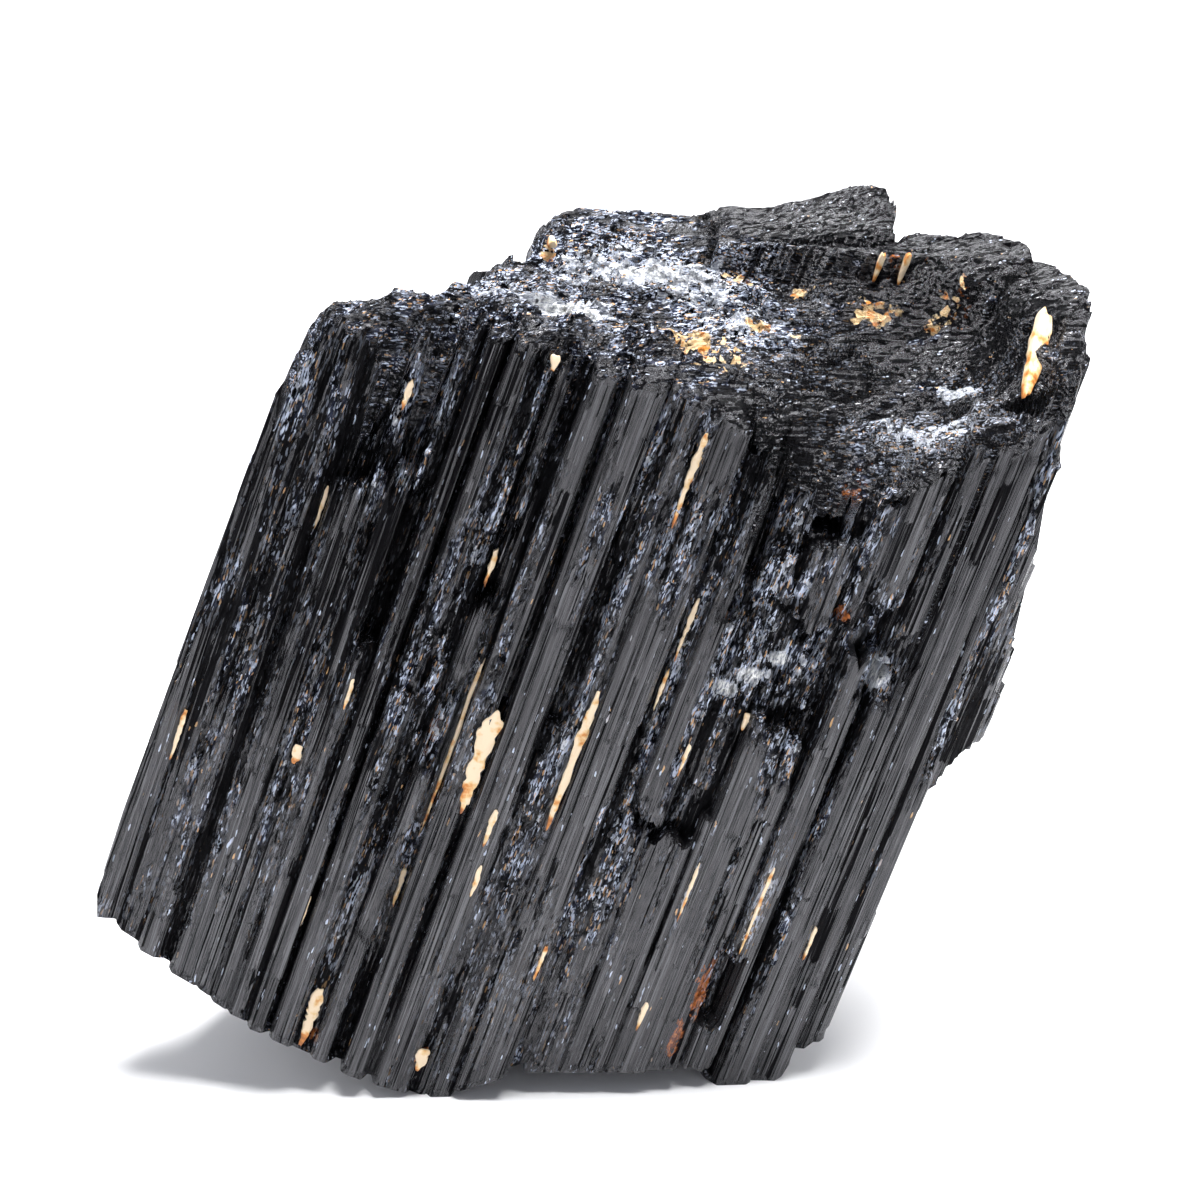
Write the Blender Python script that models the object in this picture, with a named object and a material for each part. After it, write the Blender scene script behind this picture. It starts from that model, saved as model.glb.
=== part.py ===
"""A broken block of black tourmaline (schorl): a bundle of parallel prismatic columns grown together.

The crystal leans 18.7 degrees to the right and stands on the flat facet of its broken base.
Sizes are in millimetres and are turned into metres once, where a mesh is made.

The crystal's own frame is used throughout:
  a  across the wide front face, to the right
  b  from the front face towards the back
  h  along the columns, from the broken base to the broken top
Every column, block and cutter is a prism along h with a flat, slanting end at each side.
"""

import math

import bmesh
import bpy
import numpy as np
from mathutils import Matrix

MM = 0.001
LEAN = math.radians(18.7)
FLOOR_SLOPE = math.tan(LEAN)
AXIS_FOOT_X = -12.5
SEED = 36
FULL_LENGTH = -14.0

# Cross-section of the whole bundle, anticlockwise seen from the top: (a, b).
OUTLINE = [
    (-28.0, -13.0),
    (-14.0, -15.4),
    (2.0, -16.2),
    (16.0, -15.4),
    (27.0, -12.6),
    (28.6, -6.4),
    (28.0, 1.0),
    (26.4, 6.0),
    (22.4, 12.2),
    (16.0, 16.2),
    (10.0, 17.4),
    (3.0, 16.8),
    (-4.0, 13.6),
    (-11.2, 8.8),
    (-15.2, 3.3),
]
FRONT_SIDES = 4
CORE_INSET = 2.0
CORE_DROP = 5.0
RIB_ROOT = 6.0
BLOCK_MARGIN = 1.8
BLOCK_FOOT = 23.0
ROOT_MARGIN = 0.8

# The broken top falls from its foot line, under the back ledges, to the front rim: (a, height).
FRONT_RIM_B = -15.0
LEDGE_FOOT_B = 6.0
FRONT_RIM = [
    (-28, 56.0),
    (-24, 57.2),
    (-20, 58.6),
    (-12, 60.2),
    (-3, 60.3),
    (2.5, 59.8),
    (8, 58.4),
    (12.5, 57.6),
    (18, 59.0),
    (23, 61.4),
    (26, 65.0),
    (29, 67.0),
]
LEDGE_FOOT = [
    (-28, 53.6),
    (-22, 55.4),
    (-17, 57.2),
    (-12, 58.6),
    (-6, 60.0),
    (1, 61.6),
    (8.5, 62.4),
    (13.7, 63.4),
    (18, 64.8),
    (22, 67.4),
    (29, 70.0),
]

# Ribs of the front face, left to right: (left a, right a, recess behind the outline, lower end, upper end).
# An end of None runs to the broken base or the broken top.
FRONT_RIBS = [
    (-28.0, -25.9, 0.3, None, None),
    (-26.1, -23.6, 0.7, None, None),
    (-23.8, -22.0, 0.3, None, None),
    (-22.2, -20.9, 1.5, 9.0, 42.0),
    (-21.1, -18.6, 0.4, None, 45.0),
    (-18.8, -17.3, 0.7, None, None),
    (-17.5, -15.9, 0.5, None, 47.0),
    (-16.0, -14.2, 0.6, None, 33.0),
    (-15.8, -14.4, 0.9, 46.0, None),
    (-14.3, -12.9, 0.1, None, None),
    (-12.5, -10.6, 0.2, None, None),
    (-10.8, -8.9, 0.8, None, None),
    (-9.1, -7.6, 0.5, None, 40.0),
    (-8.8, -7.7, 0.9, 46.0, None),
    (-6.6, -4.7, 0.1, None, None),
    (-5.0, -3.9, 1.2, None, 32.0),
    (-4.1, -1.2, 0.2, None, None),
    (-1.4, 0.4, 0.9, None, 33.0),
    (-1.0, 0.5, 1.1, 46.0, None),
    (0.2, 2.2, 0.6, None, None),
    (2.0, 5.3, 0.0, None, None),
    (5.1, 7.0, 1.0, None, 57.0),
    (7.0, 9.6, 0.2, 28.0, 45.0),
    (6.9, 8.4, 0.4, 44.0, 58.0),
    (9.4, 12.6, 1.3, 30.0, 50.0),
    (12.4, 15.8, 0.6, 45.0, 52.0),
    (12.7, 15.9, 0.3, 27.0, 37.0),
    (15.7, 17.7, 0.7, 46.0, 56.0),
    (17.5, 20.1, 0.0, 49.0, None),
    (17.8, 20.0, 0.1, 8.0, 45.0),
    (20.6, 23.3, 0.0, None, 43.0),
    (20.3, 22.7, 0.5, 43.0, 62.5),
    (22.5, 25.7, 0.1, None, None),
    (26.0, 27.6, 0.2, None, None),
    (6.4, 9.1, 0.7, None, 27.0),
    (8.9, 12.3, 0.5, None, 26.0),
    (12.1, 15.3, 0.3, None, 28.0),
    (15.1, 17.5, 0.5, None, 36.0),
]

# Blocks that stand above the fracture: (corners, height, rise per mm of a, rise per mm of b, measured at a, b).
TOP_BLOCKS = {
    "knoll": ([(-11.6, 4.6), (-3.0, 3.4), (1.4, 8.0), (1.0, 15.8), (-4.2, 13.4), (-11.2, 8.7)], 61.3, 0.1, 0.06, -8.0, 8.0),
    "knoll_cap": ([(-9.6, 6.4), (-2.4, 7.4), (0.8, 11.6), (0.4, 15.4), (-4.2, 13.3), (-9.8, 9.6)], 62.0, 0.05, 0.0, -4.0, 13.0),
    "slab": ([(1.4, 9.0), (14.2, 9.2), (14.4, 13.4), (2.0, 13.2)], 65.2, 0.34, 0.1, 7.5, 9.0),
    "slab_back": ([(4.4, 12.4), (14.3, 12.4), (14.3, 16.0), (13.0, 16.8), (4.8, 16.8)], 64.6, 0.63, 0.4, 5.5, 17.0),
    "slab_step": ([(1.2, 11.8), (5.5, 11.8), (5.6, 16.8), (2.6, 16.5), (1.2, 15.8)], 63.2, 0.3, 0.0, 1.5, 16.0),
    "cliff": ([(1.6, 6.6), (9.0, 5.8), (19.4, 6.2), (18.6, 13.4), (2.4, 12.0)], 65.1, 0.27, -0.25, 7.2, 6.5),
    "cliff_toe": ([(9.6, 3.4), (15.4, 2.6), (19.0, 7.4), (8.0, 8.0)], 64.3, 0.22, -0.22, 12.0, 4.0),
    "right_block": ([(16.0, 4.4), (22.4, 2.6), (24.0, 8.4), (21.8, 12.1), (20.4, 12.9), (15.6, 14.8)], 68.1, 0.42, -0.04, 19.6, 12.0),
    "right_rim": ([(22.7, -4.4), (27.1, -5.2), (27.5, 0.8), (26.6, 4.0), (25.0, 7.4), (22.8, 9.8), (21.5, 3.2)], 70.5, 0.35, -0.04, 26.7, 3.0),
    "right_shoulder": ([(25.0, -12.6), (27.1, -9.4), (27.3, -3.1), (24.9, -3.0)], 69.0, -0.1, 0.34, 27.0, -8.0),
    "niche_column": ([(23.3, -8.2), (25.1, -9.0), (25.2, -2.7), (23.0, -2.6)], 68.2, 0.1, 0.1, 24.0, -6.0),
}

# Blocks on the right side face, one over the other: (corners, lower end, upper end, rise of each per mm of a).
SIDE_BLOCKS = {
    "bulge_foot": ([(25.0, -11.6), (28.4, -10.6), (29.6, -7.6), (29.2, -2.6), (26.0, 2.0)], 33.6, 1.6, 56.2, -1.6),
    "bulge": ([(26.0, -10.4), (30.0, -9.4), (31.0, -6.8), (30.6, -3.4), (27.1, -0.2)], 35.4, 1.9, 49.0, -2.0),
    "bulge_crest": ([(27.0, -9.0), (30.8, -8.4), (31.5, -6.4), (31.2, -4.4), (28.0, -2.0)], 37.0, 1.3, 44.0, -1.2),
}

# Pieces broken out of the bundle: (corners, bottom height, top height, rise of both per mm of a).
PITS = {
    "black_hole": ([(11.8, -18.0), (13.9, -18.0), (14.2, -10.6), (12.2, -10.4)], 52.4, 56.2, 0.15),
    "black_window": ([(-15.7, -18.0), (-14.4, -18.0), (-14.5, -12.2), (-15.5, -12.2)], 33.0, 45.5, 0.1),
    "dark_wedge": ([(8.4, -18.0), (9.5, -18.0), (9.4, -12.6), (8.6, -12.8)], 48.6, 53.6, -0.7),
    "rust_pit": ([(17.2, -18.0), (18.8, -18.0), (18.7, -12.2), (17.4, -12.4)], 12.4, 18.6, 0.2),
    "small_pit": ([(20.6, -18.0), (22.4, -18.0), (22.2, -14.0), (20.9, -14.0)], 12.8, 15.8, 0.3),
    "left_pit": ([(-22.4, -18.0), (-20.8, -18.0), (-20.9, -12.9), (-22.2, -12.9)], 9.4, 14.6, 0.3),
    "right_brow": ([(26.0, -16.0), (36.0, -16.0), (36.0, -4.8), (27.6, -4.8)], 56.5, 96.0, -1.2),
    "brow": ([(8.6, -18.0), (16.6, -18.0), (15.4, -12.4), (9.4, -12.6)], 57.0, 59.6, 0.12),
}

# Planes of the broken base, each as (height at a = 0, rise per mm of a, rise per mm of b); what lies below is gone.
BASE_BREAKS = {
    "rest_facet": (0.0, FLOOR_SLOPE, 0.0),
    "left_heel": (-0.1, -0.03, 0.0),
    "left_break_low": (-1.7, -0.2, -0.02),
    "left_break": (-3.9, -0.34, -0.02),
    "left_corner": (-21.9, -1.06, 0.0),
    "left_corner_steep": (-157.0, -5.9, 0.0),
    "right_corner": (-39.4, 1.95, 0.0),
    "right_corner_steep": (-152.0, 6.0, 0.0),
    "back_bevel": (-13.0, 0.1, 1.0),
}
# The front edge of the base is chipped, so that it stands on a left and a right foot.
CHIPS = {
    "chip": ([(3.4, -20.0), (18.6, -20.0), (17.0, -9.6), (6.4, -9.2)], (2.0, FLOOR_SLOPE)),
    "chip_left_ramp": ([(0.8, -20.0), (6.0, -20.0), (7.0, -10.4), (3.0, -11.4)], (-0.3, 0.82)),
    "chip_right_ramp": ([(17.2, -20.0), (21.6, -20.0), (19.4, -11.0), (16.4, -10.4)], (6.8, 0.03)),
}
# The left front corner tapers slightly upwards: what lies above this plane is gone.
LEFT_TAPER = (923.6, 25.9, 15.2)
HUGE = 90.0


def plane(height, rise_a=0.0, rise_b=0.0, at_a=0.0, at_b=0.0):
    """A slanting end as (height at a = b = 0, rise per mm of a, rise per mm of b)."""
    return (height - rise_a * at_a - rise_b * at_b, rise_a, rise_b)


def height_on(end, a, b):
    return end[0] + end[1] * a + end[2] * b


def fracture_height(a, b):
    """Height of the broken top: straight from the front rim to the foot of the back ledges."""
    rim = np.interp(a, *zip(*FRONT_RIM))
    foot = np.interp(a, *zip(*LEDGE_FOOT))
    share = np.clip((b - FRONT_RIM_B) / (LEDGE_FOOT_B - FRONT_RIM_B), 0.0, 1.0)
    return rim + (foot - rim) * share


def fracture_plane(a, b, lift, tilt_a, tilt_b):
    """The end of a column at (a, b): it follows the slope of the broken top, with its own lift and tilt."""
    step = 1.5
    slope_a = (fracture_height(a + step, b) - fracture_height(a - step, b)) / (2 * step)
    slope_b = (fracture_height(a, b + step) - fracture_height(a, b - step)) / (2 * step)
    return plane(fracture_height(a, b) + lift, slope_a + tilt_a, slope_b + tilt_b, a, b)


def side_lengths():
    corners = np.array(OUTLINE)
    return np.linalg.norm(np.roll(corners, -1, axis=0) - corners, axis=1)


def side_frame(side):
    """Where a side of the outline starts, and the unit vectors along it and into the crystal."""
    start = np.array(OUTLINE[side])
    along = (np.array(OUTLINE[(side + 1) % len(OUTLINE)]) - start) / side_lengths()[side]
    return start, along, np.array([-along[1], along[0]])


def rib_corners(point, along, inward, width, recess, bevel, twist):
    """Six corners of a rib: a flat outer face, a bevel at each of its edges, and a root inside the core."""
    half = width / 2
    shoulder = recess + 1.4 * bevel
    roots = []
    for x in (half, -half):
        root = RIB_ROOT
        while root > shoulder + 0.5 and not inside_outline(*(point + along * x + inward * root), ROOT_MARGIN):
            root -= 0.2
        roots.append(root)
    shape = [
        (-half + bevel, recess + twist),
        (half - bevel, recess - twist),
        (half, shoulder),
        (half, roots[0]),
        (-half, roots[1]),
        (-half, shoulder),
    ]
    return [tuple(point + along * x + inward * y) for x, y in shape]


def front_ribs(rng):
    """The ribs listed for the front face. On it, a is close enough to the distance along the outline."""
    ribs = []
    front = np.array(OUTLINE[: FRONT_SIDES + 1])
    for left, right, recess, low, high in FRONT_RIBS:
        middle = (left + right) / 2
        point = np.array([middle, np.interp(middle, front[:, 0], front[:, 1])])
        width = right - left
        bevel = min(0.3, 0.2 * width)
        corners = rib_corners(
            point, np.array([1.0, 0.0]), np.array([0.0, 1.0]), width, recess, bevel, rng.uniform(-0.08, 0.08)
        )
        bottom = plane(FULL_LENGTH) if low is None else plane(low, rng.uniform(-0.3, 0.6), 0.3, *point)
        if high is None:
            top = fracture_plane(*point, rng.uniform(-0.5, 0.4), rng.uniform(-0.1, 0.1), rng.uniform(0.0, 0.25))
        else:
            top = plane(high, rng.uniform(-0.2, 0.6), rng.uniform(0.0, 0.4), *point)
        ribs.append((corners, bottom, top))
    return ribs


def side_ribs(rng):
    """Ribs of uneven width, one beside the other, round the sides and the back."""
    ribs = []
    for side in range(FRONT_SIDES, len(OUTLINE)):
        start, along, inward = side_frame(side)
        length = side_lengths()[side]
        widths = []
        while sum(widths) < length - 1.0:
            widths.append(rng.choice([1.5, 2.2, 3.0, 4.2]) * rng.uniform(0.85, 1.15))
        widths = np.array(widths) * length / sum(widths)
        for middle, width in zip(np.cumsum(widths) - widths / 2, widths):
            point = start + along * middle
            recess = rng.choice([0.0, 0.3, 0.6, 1.0]) + rng.uniform(0.0, 0.2)
            bevel = 0.12 * width
            corners = rib_corners(point, along, inward, 1.05 * width, recess, bevel, rng.uniform(-0.12, 0.12))
            bottom = plane(FULL_LENGTH)
            top = fracture_plane(*point, rng.uniform(-0.9, 0.4), rng.uniform(-0.15, 0.15), rng.uniform(-0.15, 0.15))
            broken = rng.random()
            if broken < 0.22:
                top = plane(rng.uniform(24.0, 50.0), rng.uniform(-0.5, 0.5), rng.uniform(-0.3, 0.3), *point)
            elif broken < 0.4:
                bottom = plane(rng.uniform(14.0, 36.0), rng.uniform(-0.5, 0.5), rng.uniform(-0.3, 0.3), *point)
            ribs.append((corners, bottom, top))
    return ribs


def inside_outline(a, b, margin):
    corners = np.array(OUTLINE)
    along = np.roll(corners, -1, axis=0) - corners
    along /= np.linalg.norm(along, axis=1)[:, None]
    inward = np.stack([-along[:, 1], along[:, 0]], axis=1)
    return bool((((np.array([a, b]) - corners) * inward).sum(axis=1) > margin).all())


def fracture_blocks(rng):
    """Interior columns whose broken ends make the hackly top, on a jittered grid that leaves no gap."""
    spacing = 5.0
    blocks = []
    for row, b in enumerate(np.arange(-12.0, 16.0, spacing * 0.87)):
        for a in np.arange(-27.0, 29.0, spacing) + (row % 2) * spacing / 2:
            centre = np.array([a, b]) + rng.uniform(-0.8, 0.8, 2)
            angles = rng.uniform(0.0, math.tau) + math.tau * (np.arange(6) + rng.uniform(-0.2, 0.2, 6)) / 6
            reach = spacing * rng.uniform(0.62, 0.92, 6)
            lift = rng.uniform(-0.7, 0.6)
            tilt = rng.uniform(-0.2, 0.2, 2)
            if not inside_outline(*centre, BLOCK_MARGIN + 0.8):
                continue
            corners = []
            for angle, distance in zip(angles, reach):
                ray = np.array([math.cos(angle), math.sin(angle)])
                while not inside_outline(*(centre + distance * ray), BLOCK_MARGIN):
                    distance -= 0.25
                corners.append(tuple(centre + distance * ray))
            blocks.append((corners, plane(BLOCK_FOOT), fracture_plane(*centre, lift, *tilt)))
    return blocks


def inset_outline(inset):
    """The outline moved inwards, corner by corner, along the mean of its two sides' normals."""
    corners = np.array(OUTLINE)
    along = np.roll(corners, -1, axis=0) - corners
    along /= np.linalg.norm(along, axis=1)[:, None]
    inward = np.stack([-along[:, 1], along[:, 0]], axis=1)
    mean = inward + np.roll(inward, 1, axis=0)
    mean /= (mean * inward).sum(axis=1)[:, None]
    return [tuple(corner) for corner in corners + inset * mean]


def make_prism(name, corners, bottom, top, collection):
    """A cone primitive with equal ends whose corners are set on the outline and on the two slanting ends."""
    count = len(corners)
    if min(height_on(top, a, b) - height_on(bottom, a, b) for a, b in corners) <= 0:
        raise ValueError(f"the two ends of {name} cross")
    shape = bmesh.new()
    bmesh.ops.create_cone(shape, cap_ends=True, segments=count, radius1=1.0, radius2=1.0, depth=2.0)
    shape.verts.ensure_lookup_table()
    first = math.atan2(shape.verts[0].co.y, shape.verts[0].co.x)
    for vert in shape.verts:
        turn = math.atan2(vert.co.y, vert.co.x) - first
        a, b = corners[round(turn / math.tau * count) % count]
        end = top if vert.co.z > 0 else bottom
        vert.co = (a * MM, b * MM, height_on(end, a, b) * MM)
    mesh = bpy.data.meshes.new(name)
    shape.to_mesh(mesh)
    shape.free()
    obj = bpy.data.objects.new(name, mesh)
    obj.matrix_world = Matrix.Translation((AXIS_FOOT_X * MM, 0.0, 0.0)) @ Matrix.Rotation(LEAN, 4, "Y")
    collection.objects.link(obj)
    return obj


def make_helper(*args):
    obj = make_prism(*args)
    obj.hide_render = True
    obj.display_type = "WIRE"
    return obj


def new_collection(name):
    collection = bpy.data.collections.new(name)
    bpy.context.scene.collection.children.link(collection)
    return collection


def schorl_material():
    material = bpy.data.materials.new("schorl")
    material.use_nodes = True
    shader = material.node_tree.nodes["Principled BSDF"]
    shader.inputs["Base Color"].default_value = (0.022, 0.022, 0.026, 1.0)
    shader.inputs["Roughness"].default_value = 0.3
    shader.inputs["IOR"].default_value = 1.64
    return material


def add_boolean(obj, name, operation, collection):
    modifier = obj.modifiers.new(name, "BOOLEAN")
    modifier.operation = operation
    modifier.solver = "EXACT"
    modifier.operand_type = "COLLECTION"
    modifier.collection = collection


def main():
    for obj in list(bpy.data.objects):
        bpy.data.objects.remove(obj)
    rng = np.random.default_rng(SEED)
    specimen = new_collection("tourmaline specimen")
    columns = new_collection("columns joined to the core")
    cutters = new_collection("pieces broken away")

    core_top = fracture_plane(0.0, -4.0, -CORE_DROP, 0.0, 0.0)
    crystal = make_prism("tourmaline_crystal", inset_outline(CORE_INSET), plane(FULL_LENGTH), core_top, specimen)

    prisms = front_ribs(rng) + side_ribs(rng) + fracture_blocks(rng)
    for number, (corners, bottom, top) in enumerate(prisms):
        make_helper(f"column_{number:03d}", corners, bottom, top, columns)
    for name, (corners, height, rise_a, rise_b, at_a, at_b) in TOP_BLOCKS.items():
        make_helper(name, corners, plane(BLOCK_FOOT), plane(height, rise_a, rise_b, at_a, at_b), columns)
    for name, (corners, low, low_rise, high, high_rise) in SIDE_BLOCKS.items():
        middle = np.mean(corners, axis=0)[0]
        make_helper(name, corners, plane(low, low_rise, 0.0, middle), plane(high, high_rise, 0.0, middle), columns)

    square = [(-HUGE, -HUGE), (HUGE, -HUGE), (HUGE, HUGE), (-HUGE, HUGE)]
    for name, end in BASE_BREAKS.items():
        make_helper(name, square, plane(-20 * HUGE), end, cutters)
    make_helper("left_taper", square, LEFT_TAPER, plane(60 * HUGE), cutters)
    for name, (corners, end) in CHIPS.items():
        make_helper(name, corners, plane(-HUGE), plane(*end), cutters)
    for name, (corners, low, high, rise) in PITS.items():
        middle = np.mean(corners, axis=0)[0]
        make_helper(name, corners, plane(low, rise, 0.0, middle), plane(high, rise, 0.0, middle), cutters)

    add_boolean(crystal, "grow the columns together", "UNION", columns)
    add_boolean(crystal, "break the base and the pits", "DIFFERENCE", cutters)
    crystal.data.materials.append(schorl_material())


main()
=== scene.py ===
# %% [markdown]
# # A broken block of black tourmaline
# The block is a bundle of parallel columns that grew together. The solid model already holds its main
# shapes. This lesson covers it with a fine surface: striated ribs, rough grooves, a hackly broken top,
# and the pale and rust-coloured minerals that sit on it. A displacement could do part of this, but it
# can't give columns of different lengths, so the surface is worked out here point by point.

import math

import bpy
import numpy as np
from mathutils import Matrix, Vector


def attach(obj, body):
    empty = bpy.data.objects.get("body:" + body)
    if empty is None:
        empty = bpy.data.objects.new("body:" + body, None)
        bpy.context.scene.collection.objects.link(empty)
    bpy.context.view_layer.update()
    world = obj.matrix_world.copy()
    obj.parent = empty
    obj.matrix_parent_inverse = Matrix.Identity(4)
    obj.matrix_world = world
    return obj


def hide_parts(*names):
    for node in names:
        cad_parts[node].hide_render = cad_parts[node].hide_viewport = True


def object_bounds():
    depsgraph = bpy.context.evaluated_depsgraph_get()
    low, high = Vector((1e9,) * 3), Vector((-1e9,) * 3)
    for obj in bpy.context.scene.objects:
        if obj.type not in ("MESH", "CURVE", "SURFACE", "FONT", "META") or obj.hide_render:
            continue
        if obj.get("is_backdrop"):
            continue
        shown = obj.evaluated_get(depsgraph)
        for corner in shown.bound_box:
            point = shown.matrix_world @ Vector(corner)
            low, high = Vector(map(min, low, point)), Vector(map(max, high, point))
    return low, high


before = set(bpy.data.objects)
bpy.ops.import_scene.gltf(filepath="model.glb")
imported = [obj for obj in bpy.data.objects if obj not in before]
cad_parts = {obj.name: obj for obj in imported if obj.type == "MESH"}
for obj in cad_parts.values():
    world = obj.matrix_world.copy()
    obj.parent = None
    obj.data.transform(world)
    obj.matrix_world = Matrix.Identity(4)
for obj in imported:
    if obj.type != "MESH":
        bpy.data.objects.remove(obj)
CAD_LOW, CAD_HIGH = (np.array(corner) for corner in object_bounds())
MM = 0.001
print("solid model, mm:", np.round(CAD_LOW / MM, 1), np.round(CAD_HIGH / MM, 1))

# %% [markdown]
# ## The crystal's own frame
# Everything is drawn in the crystal's frame, in millimetres: a runs across the wide front face, b from
# the front to the back, and h along the columns. The columns lean to the right, so one rotation takes
# these three numbers to the room.

# %% The crystal's frame
LEAN = math.radians(18.7)
FLOOR_SLOPE = math.tan(LEAN)
AXIS_FOOT_X = -12.5


def to_room(a, b, h):
    """Room position in metres: turn (a, h) by the lean about the b axis, then shift the foot along X."""
    x = AXIS_FOOT_X + a * math.cos(LEAN) + h * math.sin(LEAN)
    z = -a * math.sin(LEAN) + h * math.cos(LEAN)
    return np.stack([x, b + 0 * x, z], axis=-1) * MM


print("foot of the axis, m:", to_room(np.zeros(1), np.zeros(1), np.zeros(1))[0])

# %% [markdown]
# ## The columns, as in the solid model
# The same tables and the same seeded draw give the same columns as the solid model has, so the fine
# surface follows it. Each column is a convex outline with a slanting lower and upper end.

# %% Tables of the solid model
SEED = 36
FULL_LENGTH = -14.0
OUTLINE = np.array([
    (-28, -13), (-14, -15.4), (2, -16.2), (16, -15.4), (27, -12.6), (28.6, -6.4), (28, 1), (26.4, 6),
    (22.4, 12.2), (16, 16.2), (10, 17.4), (3, 16.8), (-4, 13.6), (-11.2, 8.8), (-15.2, 3.3),
])
FRONT_SIDES = 4
CORE_INSET = 2.0
CORE_DROP = 5.0
CORE_B = -4.0
RIB_ROOT = 6.0
SHORTEST_ROOT = 0.5
BLOCK_MARGIN = 1.8
BLOCK_FOOT = 23.0
ROOT_MARGIN = 0.8
FRONT_RIM_B = -15.0
LEDGE_FOOT_B = 6.0
FRONT_RIM = [
    (-28, 56), (-24, 57.2), (-20, 58.6), (-12, 60.2), (-3, 60.3), (2.5, 59.8), (8, 58.4), (12.5, 57.6),
    (18, 59), (23, 61.4), (26, 65), (29, 67),
]
LEDGE_FOOT = [
    (-28, 53.6), (-22, 55.4), (-17, 57.2), (-12, 58.6), (-6, 60), (1, 61.6), (8.5, 62.4), (13.7, 63.4),
    (18, 64.8), (22, 67.4), (29, 70),
]
# Ribs of the front face: left a, right a, recess, lower end, upper end (None is the broken end).
FRONT_RIBS = [
    (-28, -25.9, 0.3, None, None), (-26.1, -23.6, 0.7, None, None), (-23.8, -22, 0.3, None, None),
    (-22.2, -20.9, 1.5, 9, 42), (-21.1, -18.6, 0.4, None, 45), (-18.8, -17.3, 0.7, None, None),
    (-17.5, -15.9, 0.5, None, 47), (-16, -14.2, 0.6, None, 33), (-15.8, -14.4, 0.9, 46, None),
    (-14.3, -12.9, 0.1, None, None), (-12.5, -10.6, 0.2, None, None), (-10.8, -8.9, 0.8, None, None),
    (-9.1, -7.6, 0.5, None, 40), (-8.8, -7.7, 0.9, 46, None), (-6.6, -4.7, 0.1, None, None),
    (-5, -3.9, 1.2, None, 32), (-4.1, -1.2, 0.2, None, None), (-1.4, 0.4, 0.9, None, 33),
    (-1, 0.5, 1.1, 46, None), (0.2, 2.2, 0.6, None, None), (2, 5.3, 0, None, None),
    (5.1, 7, 1, None, 57), (7, 9.6, 0.2, 28, 45), (6.9, 8.4, 0.4, 44, 58), (9.4, 12.6, 1.3, 30, 50),
    (12.4, 15.8, 0.6, 45, 52), (12.7, 15.9, 0.3, 27, 37), (15.7, 17.7, 0.7, 46, 56),
    (17.5, 20.1, 0, 49, None), (17.8, 20, 0.1, 8, 45), (20.6, 23.3, 0, None, 43),
    (20.3, 22.7, 0.5, 43, 62.5), (22.5, 25.7, 0.1, None, None), (26, 27.6, 0.2, None, None),
    (6.4, 9.1, 0.7, None, 27), (8.9, 12.3, 0.5, None, 26), (12.1, 15.3, 0.3, None, 28),
    (15.1, 17.5, 0.5, None, 36),
]
# Blocks above the fracture: corners, height, rise per mm of a and of b, measured at a, b.
TOP_BLOCKS = [
    ([(-11.6, 4.6), (-3, 3.4), (1.4, 8), (1, 15.8), (-4.2, 13.4), (-11.2, 8.7)], 61.3, 0.1, 0.06, -8, 8),
    ([(-9.6, 6.4), (-2.4, 7.4), (0.8, 11.6), (0.4, 15.4), (-4.2, 13.3), (-9.8, 9.6)],
     62, 0.05, 0, -4, 13),
    ([(1.4, 9), (14.2, 9.2), (14.4, 13.4), (2, 13.2)], 65.2, 0.34, 0.1, 7.5, 9),
    ([(4.4, 12.4), (14.3, 12.4), (14.3, 16), (13, 16.8), (4.8, 16.8)], 64.6, 0.63, 0.4, 5.5, 17),
    ([(1.2, 11.8), (5.5, 11.8), (5.6, 16.8), (2.6, 16.5), (1.2, 15.8)], 63.2, 0.3, 0, 1.5, 16),
    ([(1.6, 6.6), (9, 5.8), (19.4, 6.2), (18.6, 13.4), (2.4, 12)], 65.1, 0.27, -0.25, 7.2, 6.5),
    ([(9.6, 3.4), (15.4, 2.6), (19, 7.4), (8, 8)], 64.3, 0.22, -0.22, 12, 4),
    ([(16, 4.4), (22.4, 2.6), (24, 8.4), (21.8, 12.1), (20.4, 12.9), (15.6, 14.8)],
     68.1, 0.42, -0.04, 19.6, 12),
    ([(22.7, -4.4), (27.1, -5.2), (27.5, 0.8), (26.6, 4), (25, 7.4), (22.8, 9.8), (21.5, 3.2)],
     70.5, 0.35, -0.04, 26.7, 3),
    ([(25, -12.6), (27.1, -9.4), (27.3, -3.1), (24.9, -3)], 69, -0.1, 0.34, 27, -8),
    ([(23.3, -8.2), (25.1, -9), (25.2, -2.7), (23, -2.6)], 68.2, 0.1, 0.1, 24, -6),
]
# Blocks on the right side: corners, lower end, its rise, upper end, its rise.
SIDE_BLOCKS = [
    ([(25, -11.6), (28.4, -10.6), (29.6, -7.6), (29.2, -2.6), (26, 2)], 33.6, 1.6, 56.2, -1.6),
    ([(26, -10.4), (30, -9.4), (31, -6.8), (30.6, -3.4), (27.1, -0.2)], 35.4, 1.9, 49, -2),
    ([(27, -9), (30.8, -8.4), (31.5, -6.4), (31.2, -4.4), (28, -2)], 37, 1.3, 44, -1.2),
]
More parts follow.
